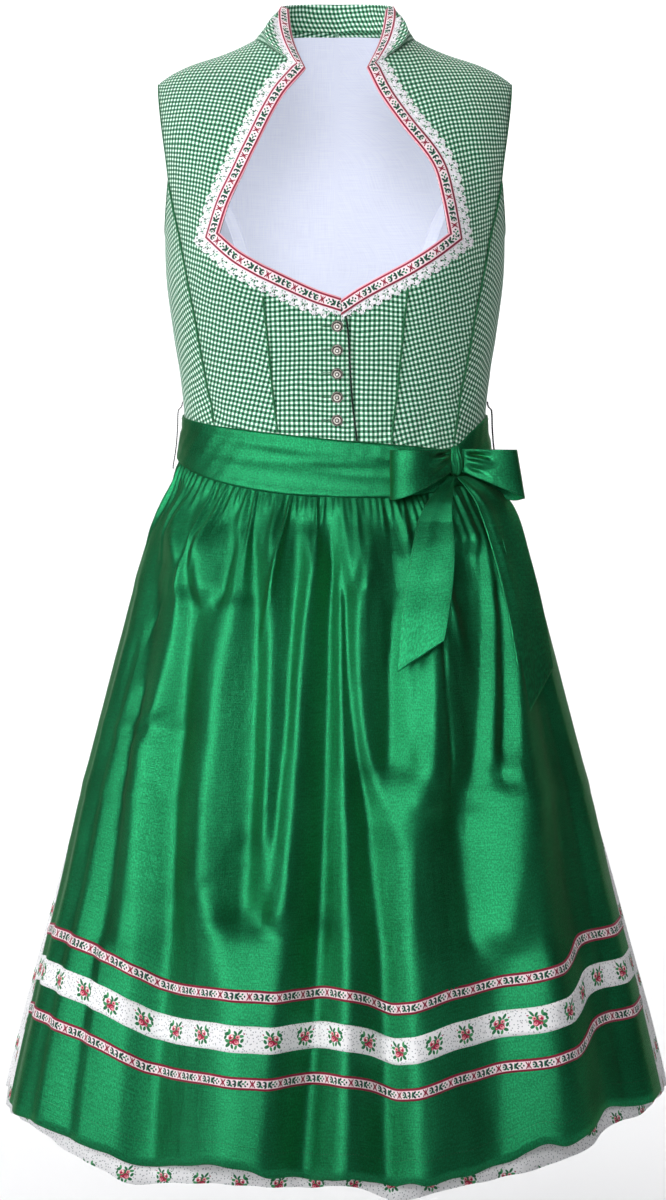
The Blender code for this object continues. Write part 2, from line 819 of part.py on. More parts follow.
def front_side_places(side):
    """Panel from the waist over the bust to the shoulder; its rows meet each neckline corner."""
    neck_side = [front_place(point) for point in NECK_SIDE[side]]
    neck_rise = [front_place(point) for point in NECK_RISE[side]]
    neck_front = [front_place(point) for point in NECK_FRONT[side]]
    inner = joined_edge(
        (FRONT_SEAM_ROWS, front_seam_edge(side)),
        (NECK_SIDE_ROWS, edge_through(neck_side)),
        (NECK_RISE_ROWS, edge_through(neck_rise)),
        (STAND_COLUMNS, edge_through(neck_front)),
    )
    rows = FRONT_SEAM_ROWS + NECK_SIDE_ROWS + NECK_RISE_ROWS + STAND_COLUMNS
    armhole = seam_places(ARMHOLE_FRONT[:-1], side) + [tip_place(side)]
    outer = joined_edge(
        (SIDE_SEAM_ROWS, side_front_seam_edge(side)), (rows - SIDE_SEAM_ROWS, edge_through(armhole))
    )
    hem = waist_edge(inner(0)[0], outer(0)[0])
    return coons_places(hem, shoulder_edge(side), inner, outer, rows, SHOULDER_COLUMNS)


def side_front_places(side, columns=4):
    inner = side_front_seam_edge(side)
    outer = side_seam_edge(side)
    under = ring_places(ARMHOLE_UNDER_FRONT, side)
    top = edge_through([inner(1.0)] + under)
    return coons_places(waist_edge(inner(0)[0], outer(0)[0]), top, inner, outer, SIDE_SEAM_ROWS, columns)


def back_side_places(side, columns=4):
    inner = side_seam_edge(side)
    outer = back_seam_edge(side)
    top = edge_through(ring_places(ARMHOLE_UNDER_BACK, side))
    return coons_places(waist_edge(inner(0)[0], outer(0)[0]), top, inner, outer, SIDE_SEAM_ROWS, columns)


def back_centre_places():
    """Back panel between the two back seams, up to the shoulders and the neck."""
    edges = {}
    for side in ("right", "left"):
        armhole = ring_places(ARMHOLE_BACK, side) + [tip_place(side, back=True)]
        edges[side] = joined_edge(
            (SIDE_SEAM_ROWS, back_seam_edge(side)), (BACK_ARMHOLE_ROWS, edge_through(armhole))
        )

    def unwrapped(side):
        """The right side's angles are counted on past the centre back."""
        turn = 360 if side == "right" else 0
        return lambda t: edges[side](t) + np.array((turn, 0.0))

    def past_centre(edge):
        return lambda s: edge(s) + np.array((360.0 if edge(s)[0] < 0 else 0.0, 0.0))

    def reversed_edge(edge):
        return lambda s: edge(1 - s)

    top = joined_edge(
        (SHOULDER_COLUMNS, reversed_edge(shoulder_edge("left", back=True))),
        (NECK_BACK_COLUMNS, neck_back_edge("left")),
        (NECK_BACK_COLUMNS, past_centre(reversed_edge(neck_back_edge("right")))),
        (SHOULDER_COLUMNS, past_centre(shoulder_edge("right", back=True))),
    )
    left = unwrapped("left")
    right = unwrapped("right")
    rows = SIDE_SEAM_ROWS + BACK_ARMHOLE_ROWS
    columns = 2 * (SHOULDER_COLUMNS + NECK_BACK_COLUMNS)
    return coons_places(waist_edge(left(0)[0], right(0)[0]), top, left, right, rows, columns)


def stand_point(foot, ring_angle, climb, side):
    """Point of the stand collar between its foot and its top ring."""
    turn = math.radians(ring_angle)
    top = np.array(
        (
            side_sign(side) * STAND_TOP_HALF_WIDTH * math.sin(turn),
            STAND_TOP_DEPTH * math.cos(turn),
            STAND_TOP_Z,
        )
    )
    bow = STAND_BOW * max(0.0, (ring_angle - STAND_SEAM_ANGLE) / (STAND_FRONT_ANGLE - STAND_SEAM_ANGLE))
    sideways = np.array((side_sign(side) * bow * math.sin(math.pi * climb), 0.0, 0.0))
    return foot * (1 - climb) + top * climb + sideways


def stand_normal(foot, ring_angle, side):
    """Outward normal of the stand on the line that rises from a foot to the top ring."""
    turn = math.radians(ring_angle)
    sign = side_sign(side)
    rise = stand_point(foot, ring_angle, 1.0, side) - foot
    across = np.array(
        (sign * STAND_TOP_HALF_WIDTH * math.cos(turn), -STAND_TOP_DEPTH * math.sin(turn), 0.0)
    )
    normal = np.cross(across, rise)
    outward = np.array((sign * math.sin(turn), math.cos(turn), 0.0))
    normal = normal * math.copysign(1.0, normal.dot(outward))
    return normal / np.linalg.norm(normal)


def front_stand_foot(side, share):
    """Foot of the front part of the stand, from the notch to the neck point."""
    place = edge_through([front_place(point) for point in NECK_FRONT[side]])(share)
    return body_point(*place)


def stand_patch(side_shares):
    """Rows of points and normals of the stand over columns of (side, foot, ring angle)."""
    points = []
    normals = []
    for i in range(STAND_ROWS + 1):
        climb = i / STAND_ROWS
        points.append([stand_point(foot, turn, climb, side) for side, foot, turn in side_shares])
        normals.append([stand_normal(foot, turn, side) for side, foot, turn in side_shares])
    return points, normals


def front_stand_patch(side):
    columns = []
    for j in range(STAND_COLUMNS + 1):
        share = j / STAND_COLUMNS
        turn = STAND_FRONT_ANGLE + (STAND_SEAM_ANGLE - STAND_FRONT_ANGLE) * share
        columns.append((side, front_stand_foot(side, share), turn))
    return stand_patch(columns)


def back_stand_patch():
    columns = []
    for j in range(-NECK_BACK_COLUMNS, NECK_BACK_COLUMNS + 1):
        side = "left" if j <= 0 else "right"
        share = abs(j) / NECK_BACK_COLUMNS
        foot = body_point(*neck_back_edge(side)(1 - share))
        columns.append((side, foot, STAND_SEAM_ANGLE * share))
    return stand_patch(columns)


def panel_surface(places):
    points, normals = body_patch(places)
    return Surface().add(points, normals)


def underlap_offsets(surface):
    """How far the left front steps back to pass below the overlapping right front."""
    edge = placket_edge()
    line = [body_point(*edge(share)) for share in np.linspace(0, 1, 21)]
    edge_x = [np.interp(p[2], [q[2] for q in line], [q[0] for q in line]) for p in surface.points]
    beyond = [point[0] - x for point, x in zip(surface.points, edge_x)]
    depth = BODICE_WALL + UNDERLAP_DEPTH
    return np.array([-depth * (1 - smooth_step(*UNDERLAP_RAMP, reach)) for reach in beyond])


def build_bodice():
    """Panels, stand collar and lining; gives back the grids that the trims follow."""
    grids = {}
    for side in ("right", "left"):
        grids["front_centre_" + side] = front_centre_places(side)
        grids["front_side_" + side] = front_side_places(side)
        grids["side_front_" + side] = side_front_places(side)
        grids["back_side_" + side] = back_side_places(side)
    grids["back_centre"] = back_centre_places()

    for name, places in grids.items():
        surface = panel_surface(places)
        outer = underlap_offsets(surface) if name == "front_centre_left" else 0.0
        if name.startswith("front_side"):
            side = name.split("_")[-1]
            surface.add(*front_stand_patch(side))
        wall(name, surface, outer - BODICE_WALL, outer, "gingham_cotton")
    stand = Surface().add(*back_stand_patch())
    wall("collar_back", stand, -BODICE_WALL, 0.0, "gingham_cotton")

    skin = -(BODICE_WALL + LINING_GAP)
    lined = {"lining_back": "back_centre"}
    for side in ("right", "left"):
        lined["lining_side_" + side] = "back_side_" + side
    for name, panel in lined.items():
        points, normals = body_patch(grids[panel])
        for j, (point, below) in enumerate(zip(points[-1], points[-2])):
            down = (below - point) / np.linalg.norm(below - point)
            points[-1][j] = point + down * LINING_DROP
        wall(name, Surface().add(points, normals), skin - LINING_WALL, skin, "lining_cotton")
    return grids


# ================================================================ neckline trims
def neckline_stations(side):
    """Inner edge points, outward directions in the cloth and normals, from the V to the notch."""
    lower = [front_place(point) for point in NECK_CENTRE[side][:-1] + NECK_SIDE[side]]
    rise = [front_place(point) for point in NECK_RISE[side]]
    lower_count = NECK_STATIONS * 11 // 26
    rise_count = NECK_STATIONS - lower_count
    places = [edge_through(lower)(k / lower_count) for k in range(lower_count)]
    places += [edge_through(rise)(k / rise_count) for k in range(rise_count + 1)]
    return places


def offset_places(places, distance, side):
    """Places moved away from the opening by a distance in the upright plane, mitred at corners."""
    flat = [body_point(*place)[[0, 2]] for place in places]
    directions = []
    for a, b in zip(flat, flat[1:]):
        along = (b - a) / np.linalg.norm(b - a)
        outward = np.array((along[1], -along[0]))
        directions.append(outward if side == "left" else -outward)
    moved = []
    for i, point in enumerate(flat):
        near = directions[max(i - 1, 0)]
        far = directions[min(i, len(directions) - 1)]
        mean = (near + far) / np.linalg.norm(near + far)
        shift = mean * distance / max(mean.dot(near), 0.5)
        if i == 0:
            shift = np.array((0.0, shift[1] / max(abs(mean[1]), 0.5)))
        target = point + shift
        moved.append(front_place(PlanePoint(target[0], target[1])))
    return moved


def stand_station(side, climb, reach):
    """Point and normal of the stand at a distance back from its front edge."""
    share = reach / STAND_FRONT_REACH
    turn = STAND_FRONT_ANGLE + (STAND_SEAM_ANGLE - STAND_FRONT_ANGLE) * share
    foot = front_stand_foot(side, share)
    return stand_point(foot, turn, climb, side), stand_normal(foot, turn, side)


def neck_trim_surface(side, inner_reach, outer_reach, scallop, climb_end):
    """Band that follows the neckline and then the stand's front edge."""
    places = neckline_stations(side)
    stations = []
    near = offset_places(places, inner_reach, side)
    for k, place in enumerate(near):
        reach = outer_reach - (scallop if k % 2 else 0.0)
        if scallop and k < 2:
            reach -= LACE_BUTTON_NOTCH
        far = offset_places(places, reach, side)[k]
        stations.append([(body_point(*spot), body_normal(*spot)) for spot in (place, far)])
    for k in range(1, STAND_STATIONS + 1):
        climb = climb_end * k / STAND_STATIONS
        taper = 1 - LACE_TAPER * k / STAND_STATIONS if scallop else 1.0
        reach = inner_reach + (outer_reach - inner_reach) * taper
        reach -= scallop if (k + len(near)) % 2 == 0 else 0.0
        stations.append([stand_station(side, climb, distance) for distance in (inner_reach, reach)])
    points = [[station[row][0] for station in stations] for row in (0, 1)]
    normals = [[station[row][1] for station in stations] for row in (0, 1)]
    return Surface().add(points, normals)


def build_neck_trims():
    for side in ("right", "left"):
        ribbon = neck_trim_surface(side, 0.5 * MM, RIBBON_WIDTH, 0.0, 1.0)
        wall("neck_ribbon_" + side, ribbon, RIBBON_LIFT, RIBBON_LIFT + TRIM_WALL, "woven_ribbon")
        lace = neck_trim_surface(
            side, RIBBON_WIDTH + 0.5 * MM, RIBBON_WIDTH + LACE_WIDTH, LACE_SCALLOP, LACE_STAND_SHARE
        )
        wall("neck_lace_" + side, lace, RIBBON_LIFT, RIBBON_LIFT + TRIM_WALL, "white_lace")


# ================================================================ piping, buttons, loops
def seam_piping(name, edge, start, end, rows):
    """Cord over a seam, on the same chords as the panels' rows, cut off at both ends."""
    stations = np.arange(rows + 1) / rows
    points = np.array([body_point(*edge(share)) for share in stations])
    normals = np.array([body_normal(*edge(share)) for share in stations])
    inner = [share for share in stations if start + 0.02 < share < end - 0.02]
    path = []
    turned = []
    for share in [start] + inner + [end]:
        point = np.array([np.interp(share, stations, points[:, axis]) for axis in range(3)])
        normal = np.array([np.interp(share, stations, normals[:, axis]) for axis in range(3)])
        path.append(point + normal * (PIPING_RADIUS + PIPING_LIFT))
        turned.append(normal)
    tube(name, path, PIPING_RADIUS, "green_piping", turned)


def share_at_height(edge, z):
    shares = np.linspace(0, 1, 201)
    return float(shares[np.argmin([abs(edge(share)[1] - z) for share in shares])])


def sash_top(angle):
    return table_value(SASH, "angle", "top", angle)


def sash_bottom(angle):
    return table_value(SASH, "angle", "bottom", angle)


def build_piping(grids):
    for side in ("right", "left"):
        sign = side_sign(side)
        edges = {
            "front": (front_seam_edge(side), FRONT_SEAM_ROWS),
            "side": (side_front_seam_edge(side), SIDE_SEAM_ROWS),
            "back": (back_seam_edge(side), SIDE_SEAM_ROWS),
        }
        for seam, (edge, rows) in edges.items():
            foot = PIPING_FOOT[seam]
            low = share_at_height(edge, sash_top(sign * foot.sash_angle) + foot.gap)
            high = PIPING_END_SHARE
            if seam == "front":
                high = share_at_height(edge, PIPED_FRONT_TOP_Z[side])
            seam_piping("piping_" + seam + "_" + side, edge, low, high, rows)

        front = [row[-1] for row in grids["front_side_" + side]][SIDE_SEAM_ROWS:]
        under_front = grids["side_front_" + side][-1]
        under_back = grids["back_side_" + side][-1]
        column = 0 if side == "left" else -1
        back = [row[column] for row in grids["back_centre"]][SIDE_SEAM_ROWS:]
        ring = front[::-1] + under_front[1:] + under_back[1:] + back[1:-1]
        centre = body_point(sign * 90, (UNDERARM.z + shoulder_height(TIP_X)) / 2)
        path = []
        normals = []
        for place in ring:
            normal = body_normal(*place)
            point = body_point(*place)
            inward = centre - point
            inward = inward - normal * inward.dot(normal)
            inward = inward / np.linalg.norm(inward)
            path.append(point - normal * BODICE_WALL / 2 + inward * (PIPING_RADIUS + 0.6 * MM))
            normals.append(normal)
        tube("piping_armhole_" + side, path, PIPING_RADIUS, "green_piping", normals, ring=True)


def build_buttons():
    """Domed metal buttons down the overlapping front edge."""
    turns = [2 * math.pi * m / BUTTON_SIDES for m in range(BUTTON_SIDES)]
    for k in range(BUTTON_COUNT):
        z = BUTTON_TOP_Z - BUTTON_PITCH * k
        angle = angle_at(BUTTON_X, z)
        normal = Vector(body_normal(angle, z))
        shape = bmesh.new()
        rings = []
        for ring in BUTTON_PROFILE:
            radius = ring.radius_share * BUTTON_RADIUS
            rings.append(
                [shape.verts.new((radius * math.cos(t), radius * math.sin(t), ring.height)) for t in turns]
            )
        for first, second in zip(rings, rings[1:]):
            for m in range(BUTTON_SIDES):
                n = (m + 1) % BUTTON_SIDES
                shape.faces.new((first[m], first[n], second[n], second[m]))
        shape.faces.new(rings[0][::-1])
        crown = shape.verts.new((0, 0, BUTTON_CROWN))
        for m in range(BUTTON_SIDES):
            shape.faces.new((rings[-1][m], rings[-1][(m + 1) % BUTTON_SIDES], crown))
        button = add_object("button_" + str(k + 1), shape, "antique_silver")
        button.location = Vector(body_point(angle, z)) + normal * BUTTON_LIFT
        button.rotation_mode = "QUATERNION"
        button.rotation_quaternion = Vector((0, 0, 1)).rotation_difference(normal)


def build_belt_loops():
    """Thread loops at the side seams that carry the sash."""
    for side in ("right", "left"):
        angle = side_sign(side) * 90
        normals = [ring_normal(angle, stop.z) for stop in BELT_LOOP]
        path = [ring_point(angle, stop.z) + n * stop.lift for stop, n in zip(BELT_LOOP, normals)]
        tube("belt_loop_" + side, path, LOOP_THREAD_RADIUS, "black_thread", normals)


# ================================================================ sash and bow
def build_sash(columns=60, rows=3):
    """Closed waistband; it lies on the bodice above and over the gathers of the apron below."""
    points = []
    normals = []
    for i in range(rows + 1):
        v = i / rows
        point_row = []
        normal_row = []
        for j in range(columns + 1):
            angle = -180 + 360 * (j % columns) / columns
            top = sash_top(angle)
            z = top + (sash_bottom(angle) - top) * v
            lift = SASH_TOP_LIFT + (SASH_FOOT_LIFT - SASH_TOP_LIFT) * smooth_step(0.0, 0.7, v)
            normal = ring_normal(angle, z)
            point_row.append(ring_point(angle, z) + normal * lift)
            normal_row.append(normal)
        points.append(point_row)
        normals.append(normal_row)
    wall("sash", Surface().add(points, normals), 0.0, SASH_WALL, "green_taffeta")


def knot_centre():
    normal = ring_normal(KNOT_ANGLE, KNOT_Z)
    lift = SASH_FOOT_LIFT + SASH_WALL + KNOT_HALF_SIZE.y + KNOT_LIFT
    return ring_point(KNOT_ANGLE, KNOT_Z) + normal * lift


def build_knot():
    shape = bmesh.new()
    bmesh.ops.create_uvsphere(shape, u_segments=12, v_segments=8, radius=1.0)
    normal = ring_normal(KNOT_ANGLE, KNOT_Z)
    facing = Matrix.Rotation(math.atan2(normal[0], -normal[1]), 4, "Z")
    bmesh.ops.transform(shape, matrix=Matrix.Diagonal((*KNOT_HALF_SIZE, 1)), verts=shape.verts)
    bmesh.ops.transform(shape, matrix=facing, verts=shape.verts)
    knot = add_object("bow_knot", shape, "green_taffeta")
    knot.location = knot_centre()


def build_loops(stations=16, rows=4):
    """Each bow loop leaves the knot, turns at its tip and comes back behind itself."""
    for loop in LOOPS:
        root = np.array((loop.root_x, loop.root_y))
        along = np.array((loop.tip_x, loop.tip_y)) - root
        length = np.linalg.norm(along)
        along = along / length
        outward = np.array((along[1], -along[0]))
        if outward[1] > 0:
            outward = -outward
        points = []
        for k in range(stations + 1):
            u = k / stations
            reach = math.sin(math.pi * u)
            plan = root + along * length * reach
            swell = loop.bulge * math.sin(2 * math.pi * u) + LOOP_ROOT_GAP * math.cos(math.pi * u)
            plan = plan + outward * swell
            half = LOOP_ROOT_HALF_HEIGHT + (LOOP_TIP_HALF_HEIGHT - LOOP_ROOT_HALF_HEIGHT) * reach
            middle = KNOT_Z - LOOP_DROP * reach
            column = []
            for i in range(rows + 1):
                v = 1 - 2 * i / rows
                column.append(np.array((plan[0], plan[1], middle + half * v)))
            points.append(column)
        normals = grid_normals(points)
        wall(loop.name, Surface().add(points, normals), -LOOP_WALL / 2, LOOP_WALL / 2, "green_taffeta")


def front_y(x, z, lift):
    """Depth of a plain front that stands off the body sections, for what hangs before it."""
    half_width, front, _ = section_sizes(z)
    half_width += lift
    front += lift
    share = min(abs(x) / half_width, 0.97)
    return -front * (1 - share**SECTION_POWER) ** (1 / SECTION_POWER)


def build_tails(rows=9, columns=4):
    """Hanging ends of the sash, fluted along their length and cut on the slant."""
    for name, table in TAILS.items():
        stations = [TailStation(k / (len(table) - 1), *row) for k, row in enumerate(table)]
        points = []
        for i in range(rows + 1):
            share = i / rows
            inner_x, inner_z, outer_x, outer_z = (
                table_value(stations, "share", column, share) for column in TailRow._fields
            )
            row = []
            for j in range(columns + 1):
                s = j / columns
                x = inner_x + (outer_x - inner_x) * s
                z = inner_z + (outer_z - inner_z) * s
                settle = smooth_step(0.0, 0.2, share)
                stand_off = TAIL_TOP_STAND_OFF + (TAIL_STAND_OFF - TAIL_TOP_STAND_OFF) * settle
                flute = TAIL_FLUTE * math.sin(2 * math.pi * (s + 0.25)) * settle
                y = front_y(x, z, stand_off) - flute
                row.append(np.array((x, y, z)))
            points.append(row)
        normals = grid_normals(points)
        wall(name, Surface().add(points, normals), -TAIL_WALL / 2, TAIL_WALL / 2, "green_taffeta")


# ================================================================ apron and skirt
def hem_drop(angle, z):
    return table_value(HEM_DROP, "angle", "rise", angle) * smooth_step(-DROP_START_Z, -DROP_FULL_Z, -z)


def main_folds(angle, z):
    """Rise of the apron's long folds, which open out towards the hem."""
    start = -0.42
    fall = min(max((start - z) / (start - SKIRT_HEM_Z), 0.0), 1.0)
    rise = 0.0
    for fold in APRON_FOLDS:
        centre = fold.top_angle + (fold.hem_angle - fold.top_angle) * fall
        height = fold.top_rise + (fold.hem_rise - fold.top_rise) * fall
        rise += height * MM * math.exp(-(((angle - centre) / fold.spread) ** 2))
    return rise * smooth_step(0.0, 0.06, start - 0.015 - z)


def apron_point(share, z, gather):
    """Outer face of the apron at a share of its width from -1 to 1."""
    fall = min(max((-0.42 - z) / (-0.42 - APRON_HEM_ROWS[-1]), 0.0), 1.0)
    angle = share * (APRON_EDGE_TOP_ANGLE + (APRON_EDGE_HEM_ANGLE - APRON_EDGE_TOP_ANGLE) * fall)
    level = z + hem_drop(angle, z)
    lift = APRON_LIFT + main_folds(angle, level) + gather
    return ring_point(angle, level) + ring_normal(angle, level) * lift


def gather_rows():
    """Fine rows below the sash, where every other column stands out as a gather."""
    rows = []
    for gather in GATHER_ROWS:
        row = []
        for j in range(GATHER_COLUMNS + 1):
            share = 2 * j / GATHER_COLUMNS - 1
            z = sash_bottom(share * APRON_EDGE_TOP_ANGLE) + gather.below_sash
            uneven = 0.75 + 0.25 * math.sin(2.4 * j)
            row.append(apron_point(share, z, GATHER_RISE * uneven * gather.swell * (j % 2)))
        rows.append(row)
    return rows


def long_rows():
    """Rows of the long folds by height, with one along each edge of the trims."""
    heights = list(APRON_ROWS)
    for trim in TRIMS:
        heights += [trim.top, trim.bottom]
    heights += APRON_HEM_ROWS
    count = GATHER_COLUMNS // 2
    return {z: [apron_point(2 * j / count - 1, z, 0.0) for j in range(count + 1)] for z in heights}


def build_apron():
    fine = gather_rows()
    plain = fine.pop()[::2]
    coarse = long_rows()
    heights = sorted(coarse, reverse=True)
    lower = [plain] + [coarse[z] for z in heights]
    lower_normals = grid_normals(lower)
    surface = Surface().add(fine + [plain], list(grid_normals(fine)) + [lower_normals[0]])
    surface.add(lower, lower_normals)
    wall("apron_skirt", surface, -APRON_WALL, 0.0, "green_taffeta")

    finishes = {"trim_floral": "rose_print_cotton"}
    for trim in TRIMS:
        first = heights.index(trim.top) + 1
        band = Surface().add(lower[first : first + 2], lower_normals[first : first + 2])
        wall(trim.name, band, SEAM_GAP, SEAM_GAP + TRIM_WALL, finishes.get(trim.name, "woven_ribbon"))


def back_folds(angle, z, column):
    """Gathers of the skirt's back, which run into long rounded folds."""
    around = abs(angle)
    if around <= SIDE_SEAM_ANGLE:
        return 0.0
    fall = min(max((-0.41 - z) / (-0.41 - SKIRT_HEM_Z), 0.0), 1.0)
    depth = BACK_FOLD_TOP + (BACK_FOLD_HEM - BACK_FOLD_TOP) * fall
    phase = (around - 97) / BACK_FOLD_PITCH + 0.12 * math.sin(angle / 17)
    uneven = 0.78 + 0.22 * math.sin(angle / 11 + 1.3)
    swell = 0.5 + 0.5 * math.cos(2 * math.pi * phase)
    fine = 1.6 * MM * (column % 2) * (1 - smooth_step(0.0, 0.22, fall))
    return (depth * uneven * swell + fine) * smooth_step(SIDE_SEAM_ANGLE, 95, around) * smooth_step(
        0.0, 0.03, -0.40 - z
    )


def skirt_row(start, end, columns, z_at):
    row = []
    for j in range(columns + 1):
        angle = start + (end - start) * j / columns
        centred = angle - 360 if angle > 180 else angle
        z = z_at(centred)
        z += hem_drop(centred, z)
        lift = -SKIRT_SINK + back_folds(centred, z, j)
        row.append(ring_point(centred, z) + ring_normal(centred, z) * lift)
    return row


def build_skirt():
    """Front panel under the apron and the gathered back panel."""
    heights = (-0.425, -0.475, -0.560, -0.700, -0.860, -1.000, SKIRT_HEM_Z)
    panels = {
        "skirt_front": (-SIDE_SEAM_ANGLE, SIDE_SEAM_ANGLE, 36, (-0.445,) + heights[1:]),
        "skirt_back": (SIDE_SEAM_ANGLE, 360 - SIDE_SEAM_ANGLE, 56, heights),
    }
    for name, (start, end, columns, levels) in panels.items():
        rows = [skirt_row(start, end, columns, lambda angle: waist_z(angle) - SKIRT_TOP_GAP)]
        for level in levels:
            rows.append(skirt_row(start, end, columns, lambda angle, level=level: level))
        surface = Surface().add(rows, grid_normals(rows))
        wall(name, surface, -SKIRT_WALL, 0.0, "rose_print_cotton")


def build_dress():
    for piece in list(bpy.data.objects):
        bpy.data.objects.remove(piece, do_unlink=True)
    grids = build_bodice()
    build_neck_trims()
    build_piping(grids)
    build_buttons()
    build_sash()
    build_knot()
    build_loops()
    build_tails()
    build_apron()
    build_skirt()
    build_belt_loops()


build_dress()
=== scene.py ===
"""Looks of the dirndl dress: every cloth, trim and metal surface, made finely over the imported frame.

Metres, +Z up; tables are in millimetres and degrees where their comment says nothing else. The
front faces -Y and the wearer's right side is -X. Angles run round the body: 0 is the centre front,
+90 the wearer's left side and 180 the centre back. A place is an angle and a height. Cloth
coordinates (the UV map named "cloth") are in metres along the cloth.
"""
import math
from collections import namedtuple

import bpy
import numpy as np
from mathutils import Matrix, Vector


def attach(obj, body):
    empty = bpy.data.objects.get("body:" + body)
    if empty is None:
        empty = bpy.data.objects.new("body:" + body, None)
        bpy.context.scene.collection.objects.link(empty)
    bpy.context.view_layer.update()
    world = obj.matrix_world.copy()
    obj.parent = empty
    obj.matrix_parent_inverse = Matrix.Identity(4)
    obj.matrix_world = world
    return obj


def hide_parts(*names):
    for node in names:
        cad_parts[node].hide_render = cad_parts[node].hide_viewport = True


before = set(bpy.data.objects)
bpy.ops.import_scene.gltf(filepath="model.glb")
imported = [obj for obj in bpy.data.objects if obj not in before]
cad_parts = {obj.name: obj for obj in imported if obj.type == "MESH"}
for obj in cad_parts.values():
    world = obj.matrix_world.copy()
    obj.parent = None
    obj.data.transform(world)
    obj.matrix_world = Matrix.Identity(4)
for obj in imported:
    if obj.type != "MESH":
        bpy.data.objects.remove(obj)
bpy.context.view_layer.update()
MM = 0.001
DETAIL = 1.0
UP = np.array((0.0, 0.0, 1.0))


def mm(*rows):
    return np.array(rows, float) * MM


# ================================================================ sizes shared with the solids
BODY = (
    # height, half width, front depth and back depth of each ring of the body
    (40, 184, 70, 88), (0, 185.5, 88, 100), (-50, 187, 104, 112), (-100, 182.5, 120, 117),
    (-150, 177.5, 140, 116), (-215, 175.5, 155, 108), (-275, 168, 142, 102), (-325, 160.5, 125, 100),
    (-375, 157.5, 117.5, 100), (-425, 166.5, 128.5, 113), (-475, 189, 147, 138), (-551, 211.5, 168, 165),
    (-650, 237.5, 192, 195), (-780, 271, 220, 228), (-908, 302, 246, 258), (-1040, 335, 272, 286),
    (-1120, 352, 286, 301),
)
SECTION_POWER = 2.3
ARC_PER_DEGREE = 2.6 * MM
CUP_X, CUP_Z, CUP_RISE, CUP_WIDTH, CUP_HEIGHT = mm(95, -200, 18, 50, 55)
LEAN_START, SHOULDER_Y = mm(-100, 5)
SHOULDER_LINE = (
    # x and height
    (0, 68), (30, 60), (50, 50.5), (84, 32.2), (100, 24), (120, 16), (148, 7), (167, -1.5), (178, -8.5),
    (183.5, -13), (190, -25),
)
NECK_POINT_X, TIP_X = mm(84, 183.5)
NECK_BACK = ((60, 41.5), (30, 45), (0, 45.5))
RIM_SHIFT = 2.5 * MM
STAND_RIM = (
    # angle, half width, depth and height of the collar rim
    (0, 0, 55, 76.5), (30, 27, 48, 75.7), (55, 45, 33, 73.2), (72, 54.5, 17, 70), (86, 58.5, 3, 66.5),
    (95, 56.5, -5.5, 64), (103, 50, -12, 61.2),
)
STAND_FRONT_ANGLE, STAND_SEAM_ANGLE, STAND_BOW = 103, 86, 5 * MM
# the front of the stand spreads towards the shoulder: share back from the front edge, and share of the climb
WING_ACROSS = ((0.0, 0.0), (0.28, 0.50), (0.52, 1.0), (0.78, 0.42), (1.0, 0.0))
WING_UP = ((0.0, 0.0), (0.22, 0.75), (0.45, 1.0), (0.75, 0.65), (1.0, 0.0))
WING_OUT, WING_FORWARD = 13 * MM, 13 * MM
# Seam lines as x and height. The neckline has both sides; the other seams have the wearer's left side,
# and the placket has the one line on which the buttons close.
NECK_CENTRE = {
    "right": ((6, -241.5), (-20, -233), (-71.5, -209.5)),
    "left": ((6, -243.5), (27, -230.2), (71.5, -206.8)),
}
NECK_SIDE = {
    "right": ((-71.5, -209.5), (-94, -196), (-115, -177)),
    "left": ((71.5, -206.8), (92, -193.7), (113, -177.5)),
}
NECK_RISE = {
    "right": ((-115, -177), (-107, -150), (-94, -120.5), (-81, -92), (-53.5, -36.7), (-30, -7)),
    "left": ((113, -177.5), (107.5, -144), (96.5, -105), (65.5, -64), (45.5, -34), (32.5, -6)),
}
NECK_FRONT = {
    "right": ((-30, -7), (-56, 11), (-84, 32.2)),
    "left": ((32.5, -6), (57, 11), (84, 32.2)),
}
PLACKET = ((23.5, -415), (21.5, -381), (17, -342), (15, -312.5), (12, -268), (6, -241.5))
FRONT_SEAM = ((55, -412), (58, -375), (63, -330), (67.5, -280), (71.5, -238))
SIDE_FRONT_SEAM = (
    (120, -398), (123.5, -365), (131, -320), (140.5, -265), (149, -220), (156.5, -182), (164, -150),
    (170.5, -116.5),
)
ARMHOLE_FRONT = ((170.5, -116.5), (174.5, -85), (179.5, -50), (182.5, -28))
BACK_SEAM = ((62, -385), (70, -300), (90, -200), (117, -130))
# the underarm and the back of the armhole as places, with their heights in metres
UNDERARM = (90, -0.172)
BACK_SEAM_TOP = (109, -0.085)
ARMHOLE_UNDER_FRONT = ((76.5, -0.139), (82.5, -0.162), UNDERARM)
ARMHOLE_UNDER_BACK = (UNDERARM, (98, -0.165), (105, -0.139), BACK_SEAM_TOP)
ARMHOLE_BACK = (BACK_SEAM_TOP, (108, -0.055), (103, -0.032))
WAIST_SIDE_Z, WAIST_DIP, DIP_POWER = -0.385, 0.030, 1.4
SASH = (
    # angle, height of the top edge and of the lower edge
    (-180, -352, -402), (-120, -353, -402), (-81, -359, -404), (-49, -370, -425), (-25, -376.5, -435.6),
    (0, -382, -439.5), (25, -386.5, -439.6), (38, -389, -436), (48, -391.5, -431), (55, -389, -427),
    (66, -372, -418), (80, -360, -410), (120, -353, -402), (180, -352, -402),
)
